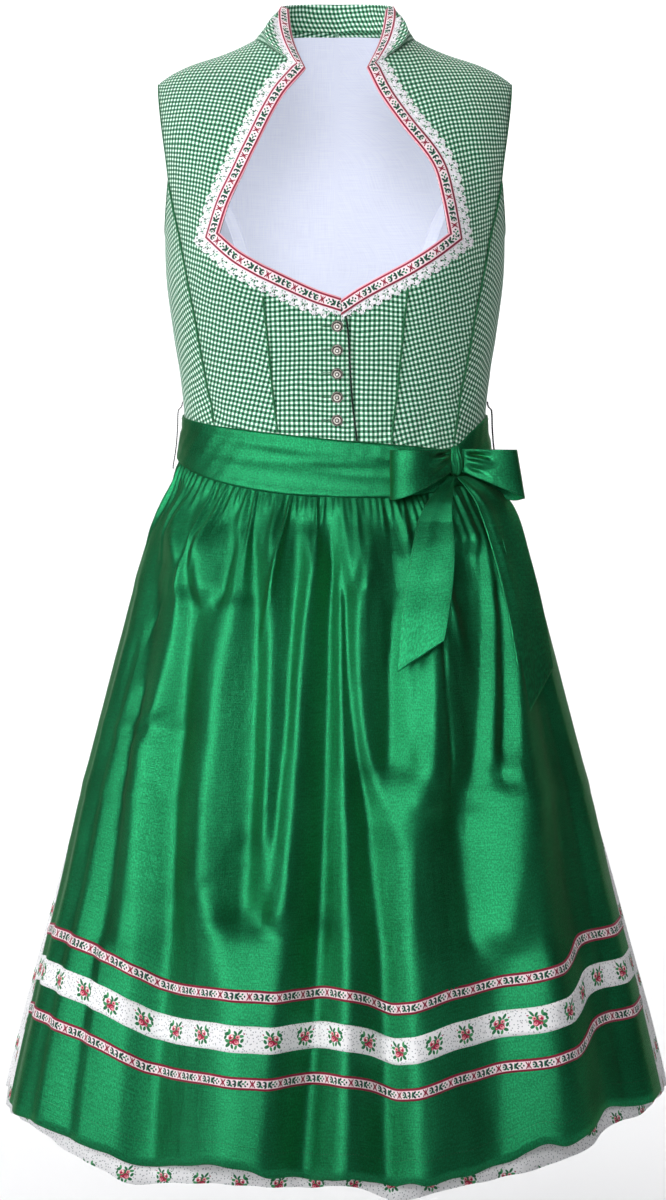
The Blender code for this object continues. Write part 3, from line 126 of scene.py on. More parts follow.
# angle, and how far both hems rise there, the skirt's hem alone drops and the apron's alone rises
HEM_RISE = (
    (-180, 0), (-120, 4), (-95, 24.3), (-77, 27.2), (-66, 33.5), (-58, 30.5), (-52, 24.2), (-47, 18.7),
    (-42, 8.9), (-38, -2.4), (-34, -4.7), (-29, -3.6), (-24, -1.9), (-20, -2.5), (-16, -2.9), (-12.5, -3.8),
    (-9, -3.7), (-5, -4.6), (-1, -2.3), (3, -2.7), (7, -8.4), (11.5, -18.1), (15, -15.2), (19, -10.8),
    (24, -5.4), (29, -3.4), (35, 1.7), (40, 5.6), (44, 10.4), (48, 13.7), (56, 30.9), (63, 32.9),
    (75, 35.6), (95, 24.5), (120, 5), (180, 0),
)
SKIRT_HEM_DROP = (
    (-180, 0), (-100, 0), (-85, 3), (-70, 7), (-60, 9), (-50, 14), (-42, 13), (-38, 8), (-31, 0), (180, 0),
)
APRON_HEM_LIFT = (
    (-180, 0), (-84, 0), (-66, -9.5), (-57, -6.5), (-53, -7.2), (-49, -7.6), (-45, -6.1), (-41.5, -2.4),
    (-38.6, -2), (-35, -1.1), (-30.7, 4.2), (-26.3, 7.7), (-22, 12.6), (-18.6, 11.7), (-15, 9.4),
    (-12, 2.3), (-8.6, -0.8), (-5, -4.2), (-1, -2.6), (3, 0.5), (6.6, -0.6), (10.4, 2.4), (13.8, 8.2),
    (17, 3.9), (21, 3), (25, -1.1), (29, 1.1), (33, 2.1), (36, 10.2), (38.6, 15.7), (41.6, 10.1),
    (46, 12.5), (53, 12.3), (59.5, 1.3), (68, 1.4), (84, 0), (180, 0),
)
RISE_START_Z, RISE_FULL_Z = -0.550, -0.900
APRON_EDGE_TOP_ANGLE, APRON_EDGE_HEM_ANGLE = 85, 75
APRON_HEM_Z, SKIRT_HEM_Z = -1.083, -1.098
SIDES = ("right", "left")


# ================================================================ guide surfaces
class Smooth:
    """Smooth function through the rows of a table, held level beyond both ends."""

    def __init__(self, keys, values):
        order = np.argsort(keys)
        self.keys = np.asarray(keys, float)[order]
        self.values = np.asarray(values, float)[order]
        last = len(self.keys) - 1
        low = np.maximum(np.arange(last + 1) - 1, 0)
        high = np.minimum(np.arange(last + 1) + 1, last)
        rise = self.values[high] - self.values[low]
        run = self.keys[high] - self.keys[low]
        self.slopes = rise / (run if self.values.ndim == 1 else run[:, None])

    def __call__(self, at):
        at = np.clip(np.asarray(at, float), self.keys[0], self.keys[-1])
        i = np.clip(np.searchsorted(self.keys, at, side="right") - 1, 0, len(self.keys) - 2)
        span = self.keys[i + 1] - self.keys[i]
        t = (at - self.keys[i]) / span
        if self.values.ndim == 2:
            t, span = t[..., None], span[..., None]
        start = (2 * t**3 - 3 * t**2 + 1) * self.values[i] + (t**3 - 2 * t**2 + t) * span * self.slopes[i]
        return start + (3 * t**2 - 2 * t**3) * self.values[i + 1] + (t**3 - t**2) * span * self.slopes[i + 1]


def columns_of(rows, *units):
    """Smooth functions of a table's first column, one for each other column."""
    table = np.array(rows, float) * (units or 1)
    return [Smooth(table[:, 0], table[:, k]) for k in range(1, table.shape[1])]


half_width, front_depth, back_depth = columns_of(BODY, MM)
(shoulder_line,) = columns_of(SHOULDER_LINE, MM)
sash_top, sash_bottom = columns_of(SASH, 1, MM, MM)
(rise_at,) = columns_of(HEM_RISE, 1, MM)
(skirt_drop_at,) = columns_of(SKIRT_HEM_DROP, 1, MM)
(apron_lift_at,) = columns_of(APRON_HEM_LIFT, 1, MM)
rim_half_width, rim_depth, rim_height = columns_of(STAND_RIM, 1, MM, MM, MM)
(wing_across,) = columns_of(WING_ACROSS)
(wing_up,) = columns_of(WING_UP)


def smooth_step(low, high, value):
    t = np.clip((np.asarray(value, float) - low) / (high - low), 0, 1)
    return t * t * (3 - 2 * t)


def bell(value, centre, width):
    return np.exp(-(((value - centre) / width) ** 2))


def unit(vectors):
    return vectors / np.maximum(np.linalg.norm(vectors, axis=-1, keepdims=True), 1e-12)


def stacked(*parts):
    """Vectors or places from their parts, which are spread over one shape."""
    return np.stack(np.broadcast_arrays(*parts), -1)


def lengths(points, axis=0):
    """Distance run along the points, from 0."""
    steps = np.linalg.norm(np.diff(points, axis=axis), axis=-1)
    return np.insert(np.cumsum(steps, axis=axis), 0, 0, axis=axis)


def along_table(at, marks, table):
    return np.stack([np.interp(at, marks, column) for column in np.transpose(table)], -1)


def fine(count):
    return max(int(count * DETAIL), 4)


def shares(count, ease=1.0):
    """Shares from 0 to 1; an ease above 1 crowds them towards 1."""
    return 1 - (1 - np.linspace(0, 1, count + 1)) ** ease


def across_shares(count, start=0.0, end=1.0):
    return np.linspace(start, end, count + 1)[None, :]


def down_shares(count, start=0.0, end=1.0):
    return np.linspace(start, end, count + 1)[:, None]


def ring_point(angle, z):
    angle, z = np.broadcast_arrays(np.asarray(angle, float), np.asarray(z, float))
    across, ahead = np.sin(np.radians(angle)), np.cos(np.radians(angle))
    depth = np.where(ahead >= 0, front_depth(z), back_depth(z))
    total = (abs(across) / half_width(z)) ** SECTION_POWER + (abs(ahead) / depth) ** SECTION_POWER
    reach = total ** (-1 / SECTION_POWER)
    return np.stack((reach * across, -reach * ahead, z), -1)


def ring_normal(angle, z):
    x, y, z = np.moveaxis(ring_point(angle, z), -1, 0)
    depth = np.where(y <= 0, front_depth(z), back_depth(z))
    power = SECTION_POWER - 1
    across = np.sign(x) * (abs(x) / half_width(z)) ** power / half_width(z)
    ahead = np.sign(y) * (abs(y) / depth) ** power / depth
    return unit(np.stack((across, ahead, 0 * x), -1))


def shoulder_height(x):
    return shoulder_line(abs(x))


def body_point(angle, z):
    """Outer face of the bodice."""
    x, y, z = np.moveaxis(ring_point(angle, z), -1, 0)
    across = (abs(x) - CUP_X) / CUP_WIDTH
    along = (z - CUP_Z) / CUP_HEIGHT
    y = np.where(y < 0, y - CUP_RISE * np.exp(-across * across - along * along), y)
    climb = np.clip((z - LEAN_START) / (shoulder_height(x) - LEAN_START), 0, 1)
    return np.stack((x, SHOULDER_Y + (y - SHOULDER_Y) * np.sqrt(1 - climb * climb), z), -1)


def body_normal(angle, z):
    turn, step = 0.6, 1.5 * MM
    angle, z = np.broadcast_arrays(np.asarray(angle, float), np.asarray(z, float))
    point = body_point(angle, z)
    x = point[..., 0]
    slope = (shoulder_height(abs(x) + step) - shoulder_height(abs(x) - step)) / (2 * step)
    ridge = unit(stacked(-slope * np.sign(x), 0.0, 1.0))
    across = body_point(angle + turn, z) - body_point(angle - turn, z)
    above = np.where(z > LEAN_START, 0.0, step)
    normal = unit(np.cross(across, body_point(angle, z + above) - body_point(angle, z - step)))
    on_ridge = (abs(point[..., 1] - SHOULDER_Y) < 0.1 * MM) & (z > LEAN_START)
    return np.where(on_ridge[..., None], ridge, normal)


def over(places):
    """Points and outward normals of the bodice at places."""
    angle, z = places[..., 0], places[..., 1]
    return body_point(angle, z), body_normal(angle, z)


def plane_places(points, back=False):
    """Places of points given by x and height."""
    points = np.asarray(points, float)
    x, z = points[..., 0], points[..., 1]
    share = np.minimum(abs(x) / half_width(z), 1.0)
    depth = (1 - share**SECTION_POWER) ** (1 / SECTION_POWER) * (back_depth(z) if back else front_depth(z))
    angle = np.degrees(np.arctan2(abs(x), -depth if back else depth))
    return np.stack((np.copysign(angle, x), z), -1)


def waist_z(angle):
    ahead = np.maximum(np.cos(np.radians(angle)), 0.0)
    return WAIST_SIDE_Z - WAIST_DIP * ahead**DIP_POWER


def edge_through(places):
    """Smooth edge through places, as a function of 0 to 1."""
    places = np.asarray(places, float)
    marks = lengths(places * (ARC_PER_DEGREE, 1))
    return Smooth(marks / marks[-1], places)


def joined_edge(*pieces):
    """Edge made of edges, each with its share."""
    starts = np.cumsum([0] + [share for share, _ in pieces]) / sum(share for share, _ in pieces)

    def at(t):
        t = np.asarray(t, float)
        which = np.clip(np.searchsorted(starts, t + 1e-9, side="right") - 1, 0, len(pieces) - 1)
        out = np.zeros(t.shape + (2,))
        for k, (_, edge) in enumerate(pieces):
            here = which == k
            if here.any():
                out[here] = edge(np.clip((t[here] - starts[k]) / (starts[k + 1] - starts[k]), 0, 1))
        return out

    return at


def coons(bottom, top, left, right, t, s):
    """Grid of places blended between four edges, at the shares t up and s across."""
    low, high, near, far = bottom(s), top(s), left(t), right(t)
    up, over_s = t[:, None, None], s[None, :, None]
    ruled = (1 - up) * low[None] + up * high[None] + (1 - over_s) * near[:, None] + over_s * far[:, None]
    corners = (1 - over_s) * (1 - up) * low[0] + over_s * (1 - up) * low[-1]
    return ruled - (corners + (1 - over_s) * up * high[0] + over_s * up * high[-1])


def on_grid(table, row, column):
    """Value of a table between its rows and columns."""
    row, column = (np.clip(at, 0, count - 1.001) for at, count in zip((row, column), table.shape))
    i, j = row.astype(int), column.astype(int)
    u, v = row - i, column - j
    near = table[i, j] * (1 - u) + table[i + 1, j] * u
    return near * (1 - v) + (table[i, j + 1] * (1 - u) + table[i + 1, j + 1] * u) * v


# ---------------------------------------------------------------- soft creases of the bodice
# middle x and height, lean in degrees, half length, half width and depth
FRONT_CREASES = (
    (44, -386, 37, 26, 3.8, 2.1), (29, -286.5, 75, 18, 3.2, 0.9), (30, -353.3, 84, 18, 3.2, 0.9),
    (-21, -303.5, 90, 20, 3.2, 0.9), (-20, -284.4, 92, 18, 3, 0.8), (90, -370, 20, 34, 6, 1.3),
    (108, -356, -12, 30, 5.5, 1.2), (-33, -400, -70, 22, 5.5, 1.2), (-90, -386, -35, 28, 6, 1.2),
    (-128, -345, -40, 30, 6, 1.3), (133, -330, 42, 32, 6, 1.3), (-142, -105, 14, 40, 8.5, 1.2),
    (141, -115, -16, 42, 8.5, 1.2), (-6, -340, 88, 24, 4.5, 0.8),
)
BACK_CREASES = (
    (-70, -350, 70, 34, 6.5, 1.4), (76, -344, -68, 34, 6.5, 1.4), (-20, -362, 82, 30, 6, 1.1),
    (26, -365, -84, 26, 6, 1.1), (-128, -80, 30, 38, 8, 1.3), (128, -84, -30, 38, 8, 1.3),
)
CREASE_FADE = (-0.43, -0.40)  # the sash covers what lies below


def crease_frame(x, z, lean):
    """Distances along a crease that leans away from upright, and aside from it."""
    lean = math.radians(lean)
    return x * math.sin(lean) + z * math.cos(lean), x * math.cos(lean) - z * math.sin(lean)


def crease_depth(point):
    """Depth of the listed creases at points of the bodice."""
    x, z = point[..., 0], point[..., 2]
    depth = 0 * x
    for table, here in ((FRONT_CREASES, point[..., 1] < 0), (BACK_CREASES, point[..., 1] >= 0)):
        total = 0 * x
        for middle_x, middle_z, lean, length, width, deep in np.array(table) * (MM, MM, 1, MM, MM, MM):
            along, aside = crease_frame(x - middle_x, z - middle_z, lean)
            profile = bell(aside, 0, width) - 0.5 * bell(aside, 2.0 * width, width)
            total = total + deep * profile * bell(along, 0, length)
        depth = depth + np.where(here, total, 0)
    return depth * smooth_step(*CREASE_FADE, z)


def body_skin(places, lift=0.0):
    """Points of the bodice cloth, with its creases, moved out by a lift."""
    point, normal = over(places)
    return point + normal * (np.asarray(lift, float) - crease_depth(point))[..., None]


# ---------------------------------------------------------------- cloth coordinates of the body
ARC_ANGLES = np.linspace(-180, 180, 241)
ARC_HEIGHTS = np.linspace(-0.46, 0.07, 107)
ARC_GRID = body_point(ARC_ANGLES[None, :], ARC_HEIGHTS[:, None])
ARC_ROUND, ARC_UP = lengths(ARC_GRID, 1), lengths(ARC_GRID, 0)
ARC_ROUND -= ARC_ROUND[:, [len(ARC_ANGLES) // 2]]


def on_arcs(table, angle, z):
    """Length along the cloth, round the body from the front or up from the foot."""
    column = (angle + 180) % 360 / 360 * (len(ARC_ANGLES) - 1)
    return on_grid(table, (z - ARC_HEIGHTS[0]) / (ARC_HEIGHTS[1] - ARC_HEIGHTS[0]), column)


def cloth_round_body(places, lean=0.0, slope=0.0, centre=0.0):
    """Cloth coordinates of a bodice panel; a lean turns the weave, a slope follows the shoulder."""
    angle, z = places[..., 0], places[..., 1]
    total = 2 * on_arcs(ARC_ROUND, 0 * angle + 179.9, z)
    across = on_arcs(ARC_ROUND, angle, z) - on_arcs(ARC_ROUND, 0 * angle + centre, z)
    if abs(centre) > 90:
        across = np.where(across < -0.5 * total, across + total, across)
    upward = on_arcs(ARC_UP, angle, z) + smooth_step(-0.20, 0.02, z) * slope * (abs(across) - 0.10)
    cos, sin = math.cos(math.radians(lean)), math.sin(math.radians(lean))
    return np.stack((across * cos - upward * sin, across * sin + upward * cos), -1)


def arc_uv(points):
    """Cloth coordinates of a small patch, measured along its rows and columns."""
    return np.stack((lengths(points, 1), lengths(points, 0)), -1)


# ================================================================ making pieces
def grid_faces(rows, columns, keep=None):
    index = np.arange(rows * columns).reshape(rows, columns)
    quads = np.stack((index[:-1, :-1], index[:-1, 1:], index[1:, 1:], index[1:, :-1]), -1)
    return quads[keep] if keep is not None else quads.reshape(-1, 4)


def mesh_piece(name, points, faces, look, uv=None):
    """Object from points and faces; unused points are left out."""
    points = np.asarray(points, float).reshape(-1, 3)
    faces = [list(face) for face in faces]
    used = sorted({index for face in faces for index in face})
    if len(used) < len(points):
        renumber = {index: k for k, index in enumerate(used)}
        faces = [[renumber[index] for index in face] for face in faces]
        points = points[used]
        uv = None if uv is None else np.asarray(uv, float).reshape(-1, 2)[used]
    mesh = bpy.data.meshes.new(name)
    mesh.from_pydata(points.tolist(), [], faces)
    if uv is not None:
        corners = np.zeros(len(mesh.loops), np.int32)
        mesh.loops.foreach_get("vertex_index", corners)
        layer = mesh.uv_layers.new(name="cloth")
        layer.data.foreach_set("uv", np.asarray(uv, float).reshape(-1, 2)[corners].ravel())
    mesh.polygons.foreach_set("use_smooth", [True] * len(mesh.polygons))
    mesh.materials.append(look)
    mesh.update()
    piece = bpy.data.objects.new(name, mesh)
    bpy.context.scene.collection.objects.link(piece)
    return piece


def thicken(piece, thickness, offset=-1):
    solid = piece.modifiers.new("cloth thickness", "SOLIDIFY")
    solid.thickness, solid.offset, solid.use_even_offset = thickness, offset, False


def placed(piece, slot, *nodes):
    """The piece rides with the dress and stands for its nodes."""
    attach(piece, "root")
    if nodes:
        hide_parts(*nodes)
    return piece


CLOTH = 0.6 * MM


def cloth_piece(name, grids, look, slot, thickness=CLOTH, offset=-1, node=None):
    """Cloth shell from grids of (points, uv, flip, keep), for the node that its name begins with.

    Rows run up and columns run towards +angle, or the grid is flipped.
    """
    points, uvs, faces, base = [], [], [], 0
    for grid, uv, flip, *keep in grids:
        here = grid_faces(*grid.shape[:2], *keep)
        faces.append((here[:, ::-1] if flip else here) + base)
        points.append(grid.reshape(-1, 3))
        uvs.append(uv.reshape(-1, 2))
        base += len(points[-1])
    piece = mesh_piece(name, np.concatenate(points), np.concatenate(faces), look, np.concatenate(uvs))
    if thickness:
        thicken(piece, thickness, offset)
    nodes = [name.rsplit("_", 1)[0] if node is None else node]
    return placed(piece, slot, *filter(None, nodes))


def tube_rings(path, radius, normals, sides, closed=False):
    """Points of a tube along a path and its faces."""
    path, normals = np.asarray(path, float), np.asarray(normals, float)
    ahead = np.roll(path, -1, axis=0) - np.roll(path, 1, axis=0) if closed else np.gradient(path, axis=0)
    along = unit(ahead)
    outward = unit(normals - along * (normals * along).sum(-1, keepdims=True))
    sideways = np.cross(along, outward)
    turns = np.linspace(0, 2 * math.pi, sides, endpoint=False)[None, :, None]
    rings = path[:, None] + radius * (outward[:, None] * np.cos(turns) + sideways[:, None] * np.sin(turns))
    count = len(path)
    faces = []
    for i in range(count if closed else count - 1):
        j = (i + 1) % count
        for k in range(sides):
            m = (k + 1) % sides
            faces.append((i * sides + k, i * sides + m, j * sides + m, j * sides + k))
    if not closed:
        faces.append(tuple(range(sides))[::-1])
        faces.append(tuple((count - 1) * sides + k for k in range(sides)))
    return rings.reshape(-1, 3), faces


def tube_piece(name, path, radius, normals, look, slot, *nodes):
    points, faces = tube_rings(path, radius, normals, 8)
    uv = stacked(lengths(path)[:, None], np.linspace(0, 2 * math.pi, 8)[None] * radius)
    return placed(mesh_piece(name, points, faces, look, uv), slot, *nodes)


class Stitches:
    """Short thread stitches gathered into one mesh."""

    def __init__(self):
        self.points, self.faces = [], []

    def add(self, start, end, normal, radius):
        start, end, normal = (np.asarray(v, float) for v in (start, end, normal))
        along = unit(end - start)
        side = unit(np.cross(along, normal))
        up = unit(np.cross(side, along))
        base = sum(len(block) for block in self.points)
        middle = (start + end) / 2 + up * radius * 0.6
        ring = [middle + side * radius, middle + up * radius, middle - side * radius, middle - up * radius]
        self.points.append(np.array([start, *ring, end]))
        for k in range(4):
            m = (k + 1) % 4
            self.faces.append((base, base + 1 + m, base + 1 + k))
            self.faces.append((base + 5, base + 1 + k, base + 1 + m))

    def run(self, path, normals, pitch, length, radius=0.2 * MM):
        """Evenly spaced stitches along a path."""
        marks = lengths(path)
        for start in np.arange(pitch / 2, marks[-1] - pitch / 2, pitch):
            ends = along_table(np.array((start, start + length)), marks, path)
            self.add(*ends, along_table(start, marks, normals), radius)

    def piece(self, name, look):
        return placed(mesh_piece(name, np.concatenate(self.points), self.faces, look), None)


# ================================================================ looks
class Look:
    """Material built from nodes; constants sit on the shader's own sockets."""

    def __init__(self, name, colour, roughness, **constants):
        self.material = bpy.data.materials.new(name)
        self.material.use_nodes = True
        self.nodes = self.material.node_tree.nodes
        self.links = self.material.node_tree.links
        self.shader = self.nodes["Principled BSDF"]
        self.shader.inputs["Base Color"].default_value = (*colour, 1)
        self.shader.inputs["Roughness"].default_value = roughness
        for socket, value in constants.items():
            self.shader.inputs[socket.replace("_", " ")].default_value = value
        self.material.diffuse_color = (*colour, 1)

    def put(self, socket, value):
        if isinstance(value, bpy.types.NodeSocket):
            self.links.new(value, socket)
        elif value is not None:
            socket.default_value = value

    def node(self, kind, *values, out=0, **settings):
        node = self.nodes.new("ShaderNode" + kind)
        for setting, value in settings.items():
            setattr(node, setting, value)
        for socket, value in zip(node.inputs, values):
            self.put(socket, value)
        return node.outputs[out]

    def math(self, operation, *values):
        return self.node("Math", *values, operation=operation)

    def times(self, *values):
        return self.math("MULTIPLY", *values)

    def plus(self, *values):
        return self.math("ADD", *values)

    def vector(self, operation, *values, out=0):
        return self.node("VectorMath", *values, operation=operation, out=out)

    def shaded(self, colour, shade):
        return self.vector("MULTIPLY", colour, self.node("CombineXYZ", shade, shade, shade))

    def uv(self):
        return self.node("UVMap", uv_map="cloth")

    def split(self, vector):
        node = self.nodes.new("ShaderNodeSeparateXYZ")
        self.put(node.inputs[0], vector)
        return node.outputs[0], node.outputs[1]

    def step(self, value, low, high, start=0.0, end=1.0):
        return self.node("MapRange", value, low, high, start, end, interpolation_type="SMOOTHSTEP")

    def mix(self, share, first, second):
        node = self.nodes.new("ShaderNodeMix")
        node.data_type = "RGBA"
        self.put(node.inputs[0], share)
        for index, value in ((6, first), (7, second)):
            self.put(node.inputs[index], (*value, 1) if isinstance(value, tuple) else value)
        return node.outputs[2]

    def noise(self, vector, scale, detail=2.0, roughness=0.5):
        node = self.nodes.new("ShaderNodeTexNoise")
        self.put(node.inputs["Vector"], vector)
        for socket, value in (("Scale", scale), ("Detail", detail), ("Roughness", roughness)):
            node.inputs[socket].default_value = value
        return node.outputs[0]

    def stretched(self, vector, across, along):
        return self.vector("MULTIPLY", vector, (across, along, 1.0))

    def pulled(self, value, pull, reach):
        """Value drawn aside by up to half a reach, where a pull runs from 0 to 1."""
        return self.plus(value, self.times(self.math("SUBTRACT", pull, 0.5), reach))

    def ramp(self, value, rows):
        """Colours through rows of a position and a colour."""
        node = self.nodes.new("ShaderNodeValToRGB")
        self.put(node.inputs[0], value)
        stops = node.color_ramp.elements
        for k, (position, colour) in enumerate(rows):
            stop = stops[k] if k < 2 else stops.new(position)
            stop.position, stop.color = position, (*linear(*colour), 1)
        return node.outputs[0]

    def bump(self, height, distance, strength=1.0, before=None):
        node = self.nodes.new("ShaderNodeBump")
        sockets = {"Strength": strength, "Distance": distance, "Height": height, "Normal": before}
        for socket, value in sockets.items():
            self.put(node.inputs[socket], value)
        self.links.new(node.outputs[0], self.shader.inputs["Normal"])
        return node.outputs[0]

    def colour(self, value):
        self.put(self.shader.inputs["Base Color"], value)

    def rough(self, value):
        self.put(self.shader.inputs["Roughness"], value)

    def threads(self, uv, pitch):
        """Height of a plain weave: warp and weft take turns on top."""
        warp, weft = (self.math("SINE", self.times(value, math.pi / pitch)) for value in self.split(uv))
        return self.math("ABSOLUTE", self.times(warp, weft))

    def shapes(self, ground, local, table, colours, soft=0.14):
        """Small charted ellipses laid over a ground, each turned about its own middle."""
        for x, y, half_length, half_width, turn, colour in table:
            mapping = self.nodes.new("ShaderNodeMapping")
            mapping.vector_type = "TEXTURE"
            self.put(mapping.inputs["Vector"], local)
            mapping.inputs["Location"].default_value = (x, y, 0)
            mapping.inputs["Rotation"].default_value = (0, 0, math.radians(turn))
            mapping.inputs["Scale"].default_value = (half_length, half_width, 1)
            flat = self.vector("MULTIPLY", mapping.outputs[0], (1.0, 1.0, 0.0))
            reach = self.vector("LENGTH", flat, out=1)
            ground = self.mix(self.step(reach, 1 + soft, 1 - soft), ground, colours[colour])
        return ground


def linear(*levels):
    """Linear colour from the usual 0 to 255 values."""
    parts = [level / 255 for level in levels]
    return tuple(part / 12.92 if part <= 0.04045 else ((part + 0.055) / 1.055) ** 2.4 for part in parts)


CHECK_ACROSS, CHECK_UP = 4.7 * MM, 5.2 * MM
CHECK_COLOURS = ((0.0, (238, 251, 243)), (1.0, (0, 60, 36)), (0.5, (88, 160, 122)))


def gingham_look():
    """Two-colour check: both colours cross to dark, one to mid, none to white."""
    look = Look("gingham", (0.2, 0.45, 0.3), 0.82, Sheen_Weight=0.12, Specular_IOR_Level=0.25)
    uv = look.uv()
    u, v = look.split(uv)
    u = look.pulled(u, look.noise(uv, 160.0, 2.0), 0.6 * MM)
    v = look.pulled(v, look.noise(uv, 15.0, 2.0), 9.5 * MM)
    u = look.pulled(u, look.noise(look.stretched(uv, 13.0, 9.0), 1.0, 1.0), 6.5 * MM)
    bars = []
    for value, pitch in ((u, CHECK_ACROSS), (v, CHECK_UP)):
        wave = look.math("SINE", look.times(value, 2 * math.pi / pitch))
        bars.append(look.step(wave, -0.46, 0.30))
    check = look.ramp(look.times(look.plus(*bars), 0.5), CHECK_COLOURS)
    fleck = look.noise(look.stretched(uv, 1.0, 2.4), 1500.0, 1.0)
    look.colour(look.shaded(check, look.step(fleck, 0.2, 0.8, 0.86, 1.08)))
    weave = look.bump(look.threads(uv, 0.46 * MM), 0.07 * MM)
    look.bump(look.noise(uv, 55.0, 3.0), 0.5 * MM, 0.7, before=weave)
    return look.material


def taffeta_look(name="taffeta", painted_brightness=1.0):
    """Green silk with a second dark thread colour: crisp, slubbed across and softly glossy."""
    # painted_brightness scales both colours: above 1 a copy that paints light, below 1 one that paints shade
    base, second = (tuple(part * painted_brightness for part in c) for c in ((0.014, 0.262, 0.098), linear(34, 84, 60)))
    look = Look(
        name,
        base,
        0.46,
        Metallic=0.88,
        Specular_IOR_Level=0.5,
        Sheen_Weight=0.06,
        Sheen_Roughness=0.45,
        Sheen_Tint=(0.62, 0.58, 0.42, 1),
        Anisotropic=0.0,
        Specular_Tint=(0.34, 0.42, 0.32, 1),
    )
    uv = look.uv()
    slub = look.noise(look.stretched(uv, 45.0, 900.0), 1.0, 3.0)
    fleck = look.noise(look.stretched(uv, 620.0, 420.0), 1.0, 2.0, 0.7)
    cloud = look.noise(look.stretched(uv, 26.0, 9.0), 1.0, 4.0, 0.6)
    shade = look.times(look.step(slub, 0.25, 0.75, 0.86, 1.12), look.step(fleck, 0.3, 0.7, 0.80, 1.16))
    shade = look.times(shade, look.step(cloud, 0.3, 0.7, 0.86, 1.08))
    look.colour(look.shaded(look.mix(look.step(fleck, 0.62, 0.42, 0.0, 0.32), base, second), shade))
    look.rough(look.step(cloud, 0.3, 0.7, 0.36, 0.48))
    weave = look.bump(look.threads(uv, 0.30 * MM), 0.03 * MM)
    slubs = look.bump(look.plus(slub, fleck), 0.22 * MM, 0.9, before=weave)
    crinkle = look.noise(look.stretched(uv, 34.0, 16.0), 1.0, 3.0, 0.55)
    look.bump(crinkle, 1.6 * MM, 0.8, before=slubs)
    return look.material


def lining_look(name, painted_glow):
    look = Look(name, linear(222, 225, 241), 0.9, Sheen_Weight=0.05, Specular_IOR_Level=0.2)
    # painted light: the lining glows though it is no lamp, which evens out its shading
    look.shader.inputs["Emission Strength"].default_value = painted_glow
    uv = look.uv()
    across, along = (look.noise(look.stretched(uv, *s), 1.0, 3.0) for s in ((40.0, 1100.0), (1100.0, 40.0)))
    shade = look.step(look.plus(across, along), 0.7, 1.3, 0.94, 1.03)
    slubs = look.node("CombineXYZ", shade, shade, shade)
    look.colour(look.vector("MULTIPLY", linear(168, 172, 188), slubs))
    look.put(look.shader.inputs["Emission Color"], look.vector("MULTIPLY", linear(226, 228, 246), slubs))
    weave = look.bump(look.threads(uv, 0.42 * MM), 0.04 * MM)
    look.bump(look.noise(uv, 30.0, 2.0), 0.4 * MM, 0.5, before=weave)
    return look.material


RIBBON_COLOURS = {
    "red": linear(138, 12, 48),
    "pink": linear(238, 224, 228),
    "edge": linear(238, 176, 190),
    "green": linear(16, 118, 78),
    "dark": linear(6, 54, 44),
}
# One repeat of the ribbon: crossed red flower, two hooked tendrils and a forked leaf. Each shape has
# its middle, half length and half width in millimetres, turn and colour.
RIBBON_FIGURE = (
    (-11, 0, 3, 0.55, 90, "red"), (-12.5, 1.7, 1.9, 0.6, 122, "red"), (-9.5, 1.7, 1.9, 0.6, 58, "red"),
    (-12.5, -1.7, 1.9, 0.6, 58, "red"), (-9.5, -1.7, 1.9, 0.6, 122, "red"), (-11, 0, 1.4, 0.65, 0, "red"),
    (-5.2, 0.2, 2.5, 2.9, 0, "dark"), (-6.4, 0.2, 1.6, 1.6, 0, "pink"), (-6.3, 0.3, 1, 0.9, 0, "green"),
    (-2.6, -1.9, 1.5, 0.9, -30, "green"), (0.2, 0.7, 2.1, 2.3, 0, "dark"), (-0.9, 0.7, 1.2, 1, 0, "pink"),
    (1.2, -1.9, 1.7, 0.9, 60, "dark"), (4.3, 0, 2.8, 0.95, 84, "green"), (6.1, 1.5, 2.3, 1.05, 42, "dark"),
    (6.1, -1.5, 2.3, 1.05, -42, "dark"), (8.6, 0, 1.6, 0.8, 0, "green"), (10.6, 1.8, 1.1, 0.8, 40, "green"),
    (10.6, -1.8, 1.1, 0.8, -40, "dark"), (12.6, 0, 1, 0.75, 90, "dark"),
)


def ribbon_look(name, width, repeat, figure, tall, outer):
    """Woven ribbon: a red line along both edges and a row of small figures between."""
    look = Look(name, RIBBON_COLOURS["pink"], 0.72, Specular_IOR_Level=0.3, Sheen_Weight=0.1)
    uv = look.uv()
    along, across = look.split(uv)
    cell = look.node("CombineXYZ", look.math("WRAP", along, repeat / 2, -repeat / 2), across, 0.0)
    local = look.vector("MULTIPLY", cell, (1000 / figure, 1000 / figure / tall, 0.0))
    colour = look.shapes(RIBBON_COLOURS["pink"], local, RIBBON_FIGURE, RIBBON_COLOURS)
    edge = look.math("DIVIDE", look.math("ABSOLUTE", across), width / 2)
    colour = look.mix(look.step(edge, 0.58, 0.62), colour, RIBBON_COLOURS["edge"])
    outside = look.step(edge, *outer)
    line = look.times(look.step(edge, 0.58 + 0.06, 0.62 + 0.06), outside)
    look.colour(look.mix(line, colour, RIBBON_COLOURS["red"]))
    look.bump(look.threads(uv, 0.5 * MM), 0.08 * MM)
    return look.material


PRINT_COLOURS = {
    "red": linear(166, 22, 64),
    "pink": linear(236, 150, 160),
    "green": linear(26, 110, 66),
    "leaf": linear(64, 150, 92),
    "grey": linear(120, 126, 134),
    "ground": linear(241, 241, 243),
    "white": linear(250, 247, 247),
}
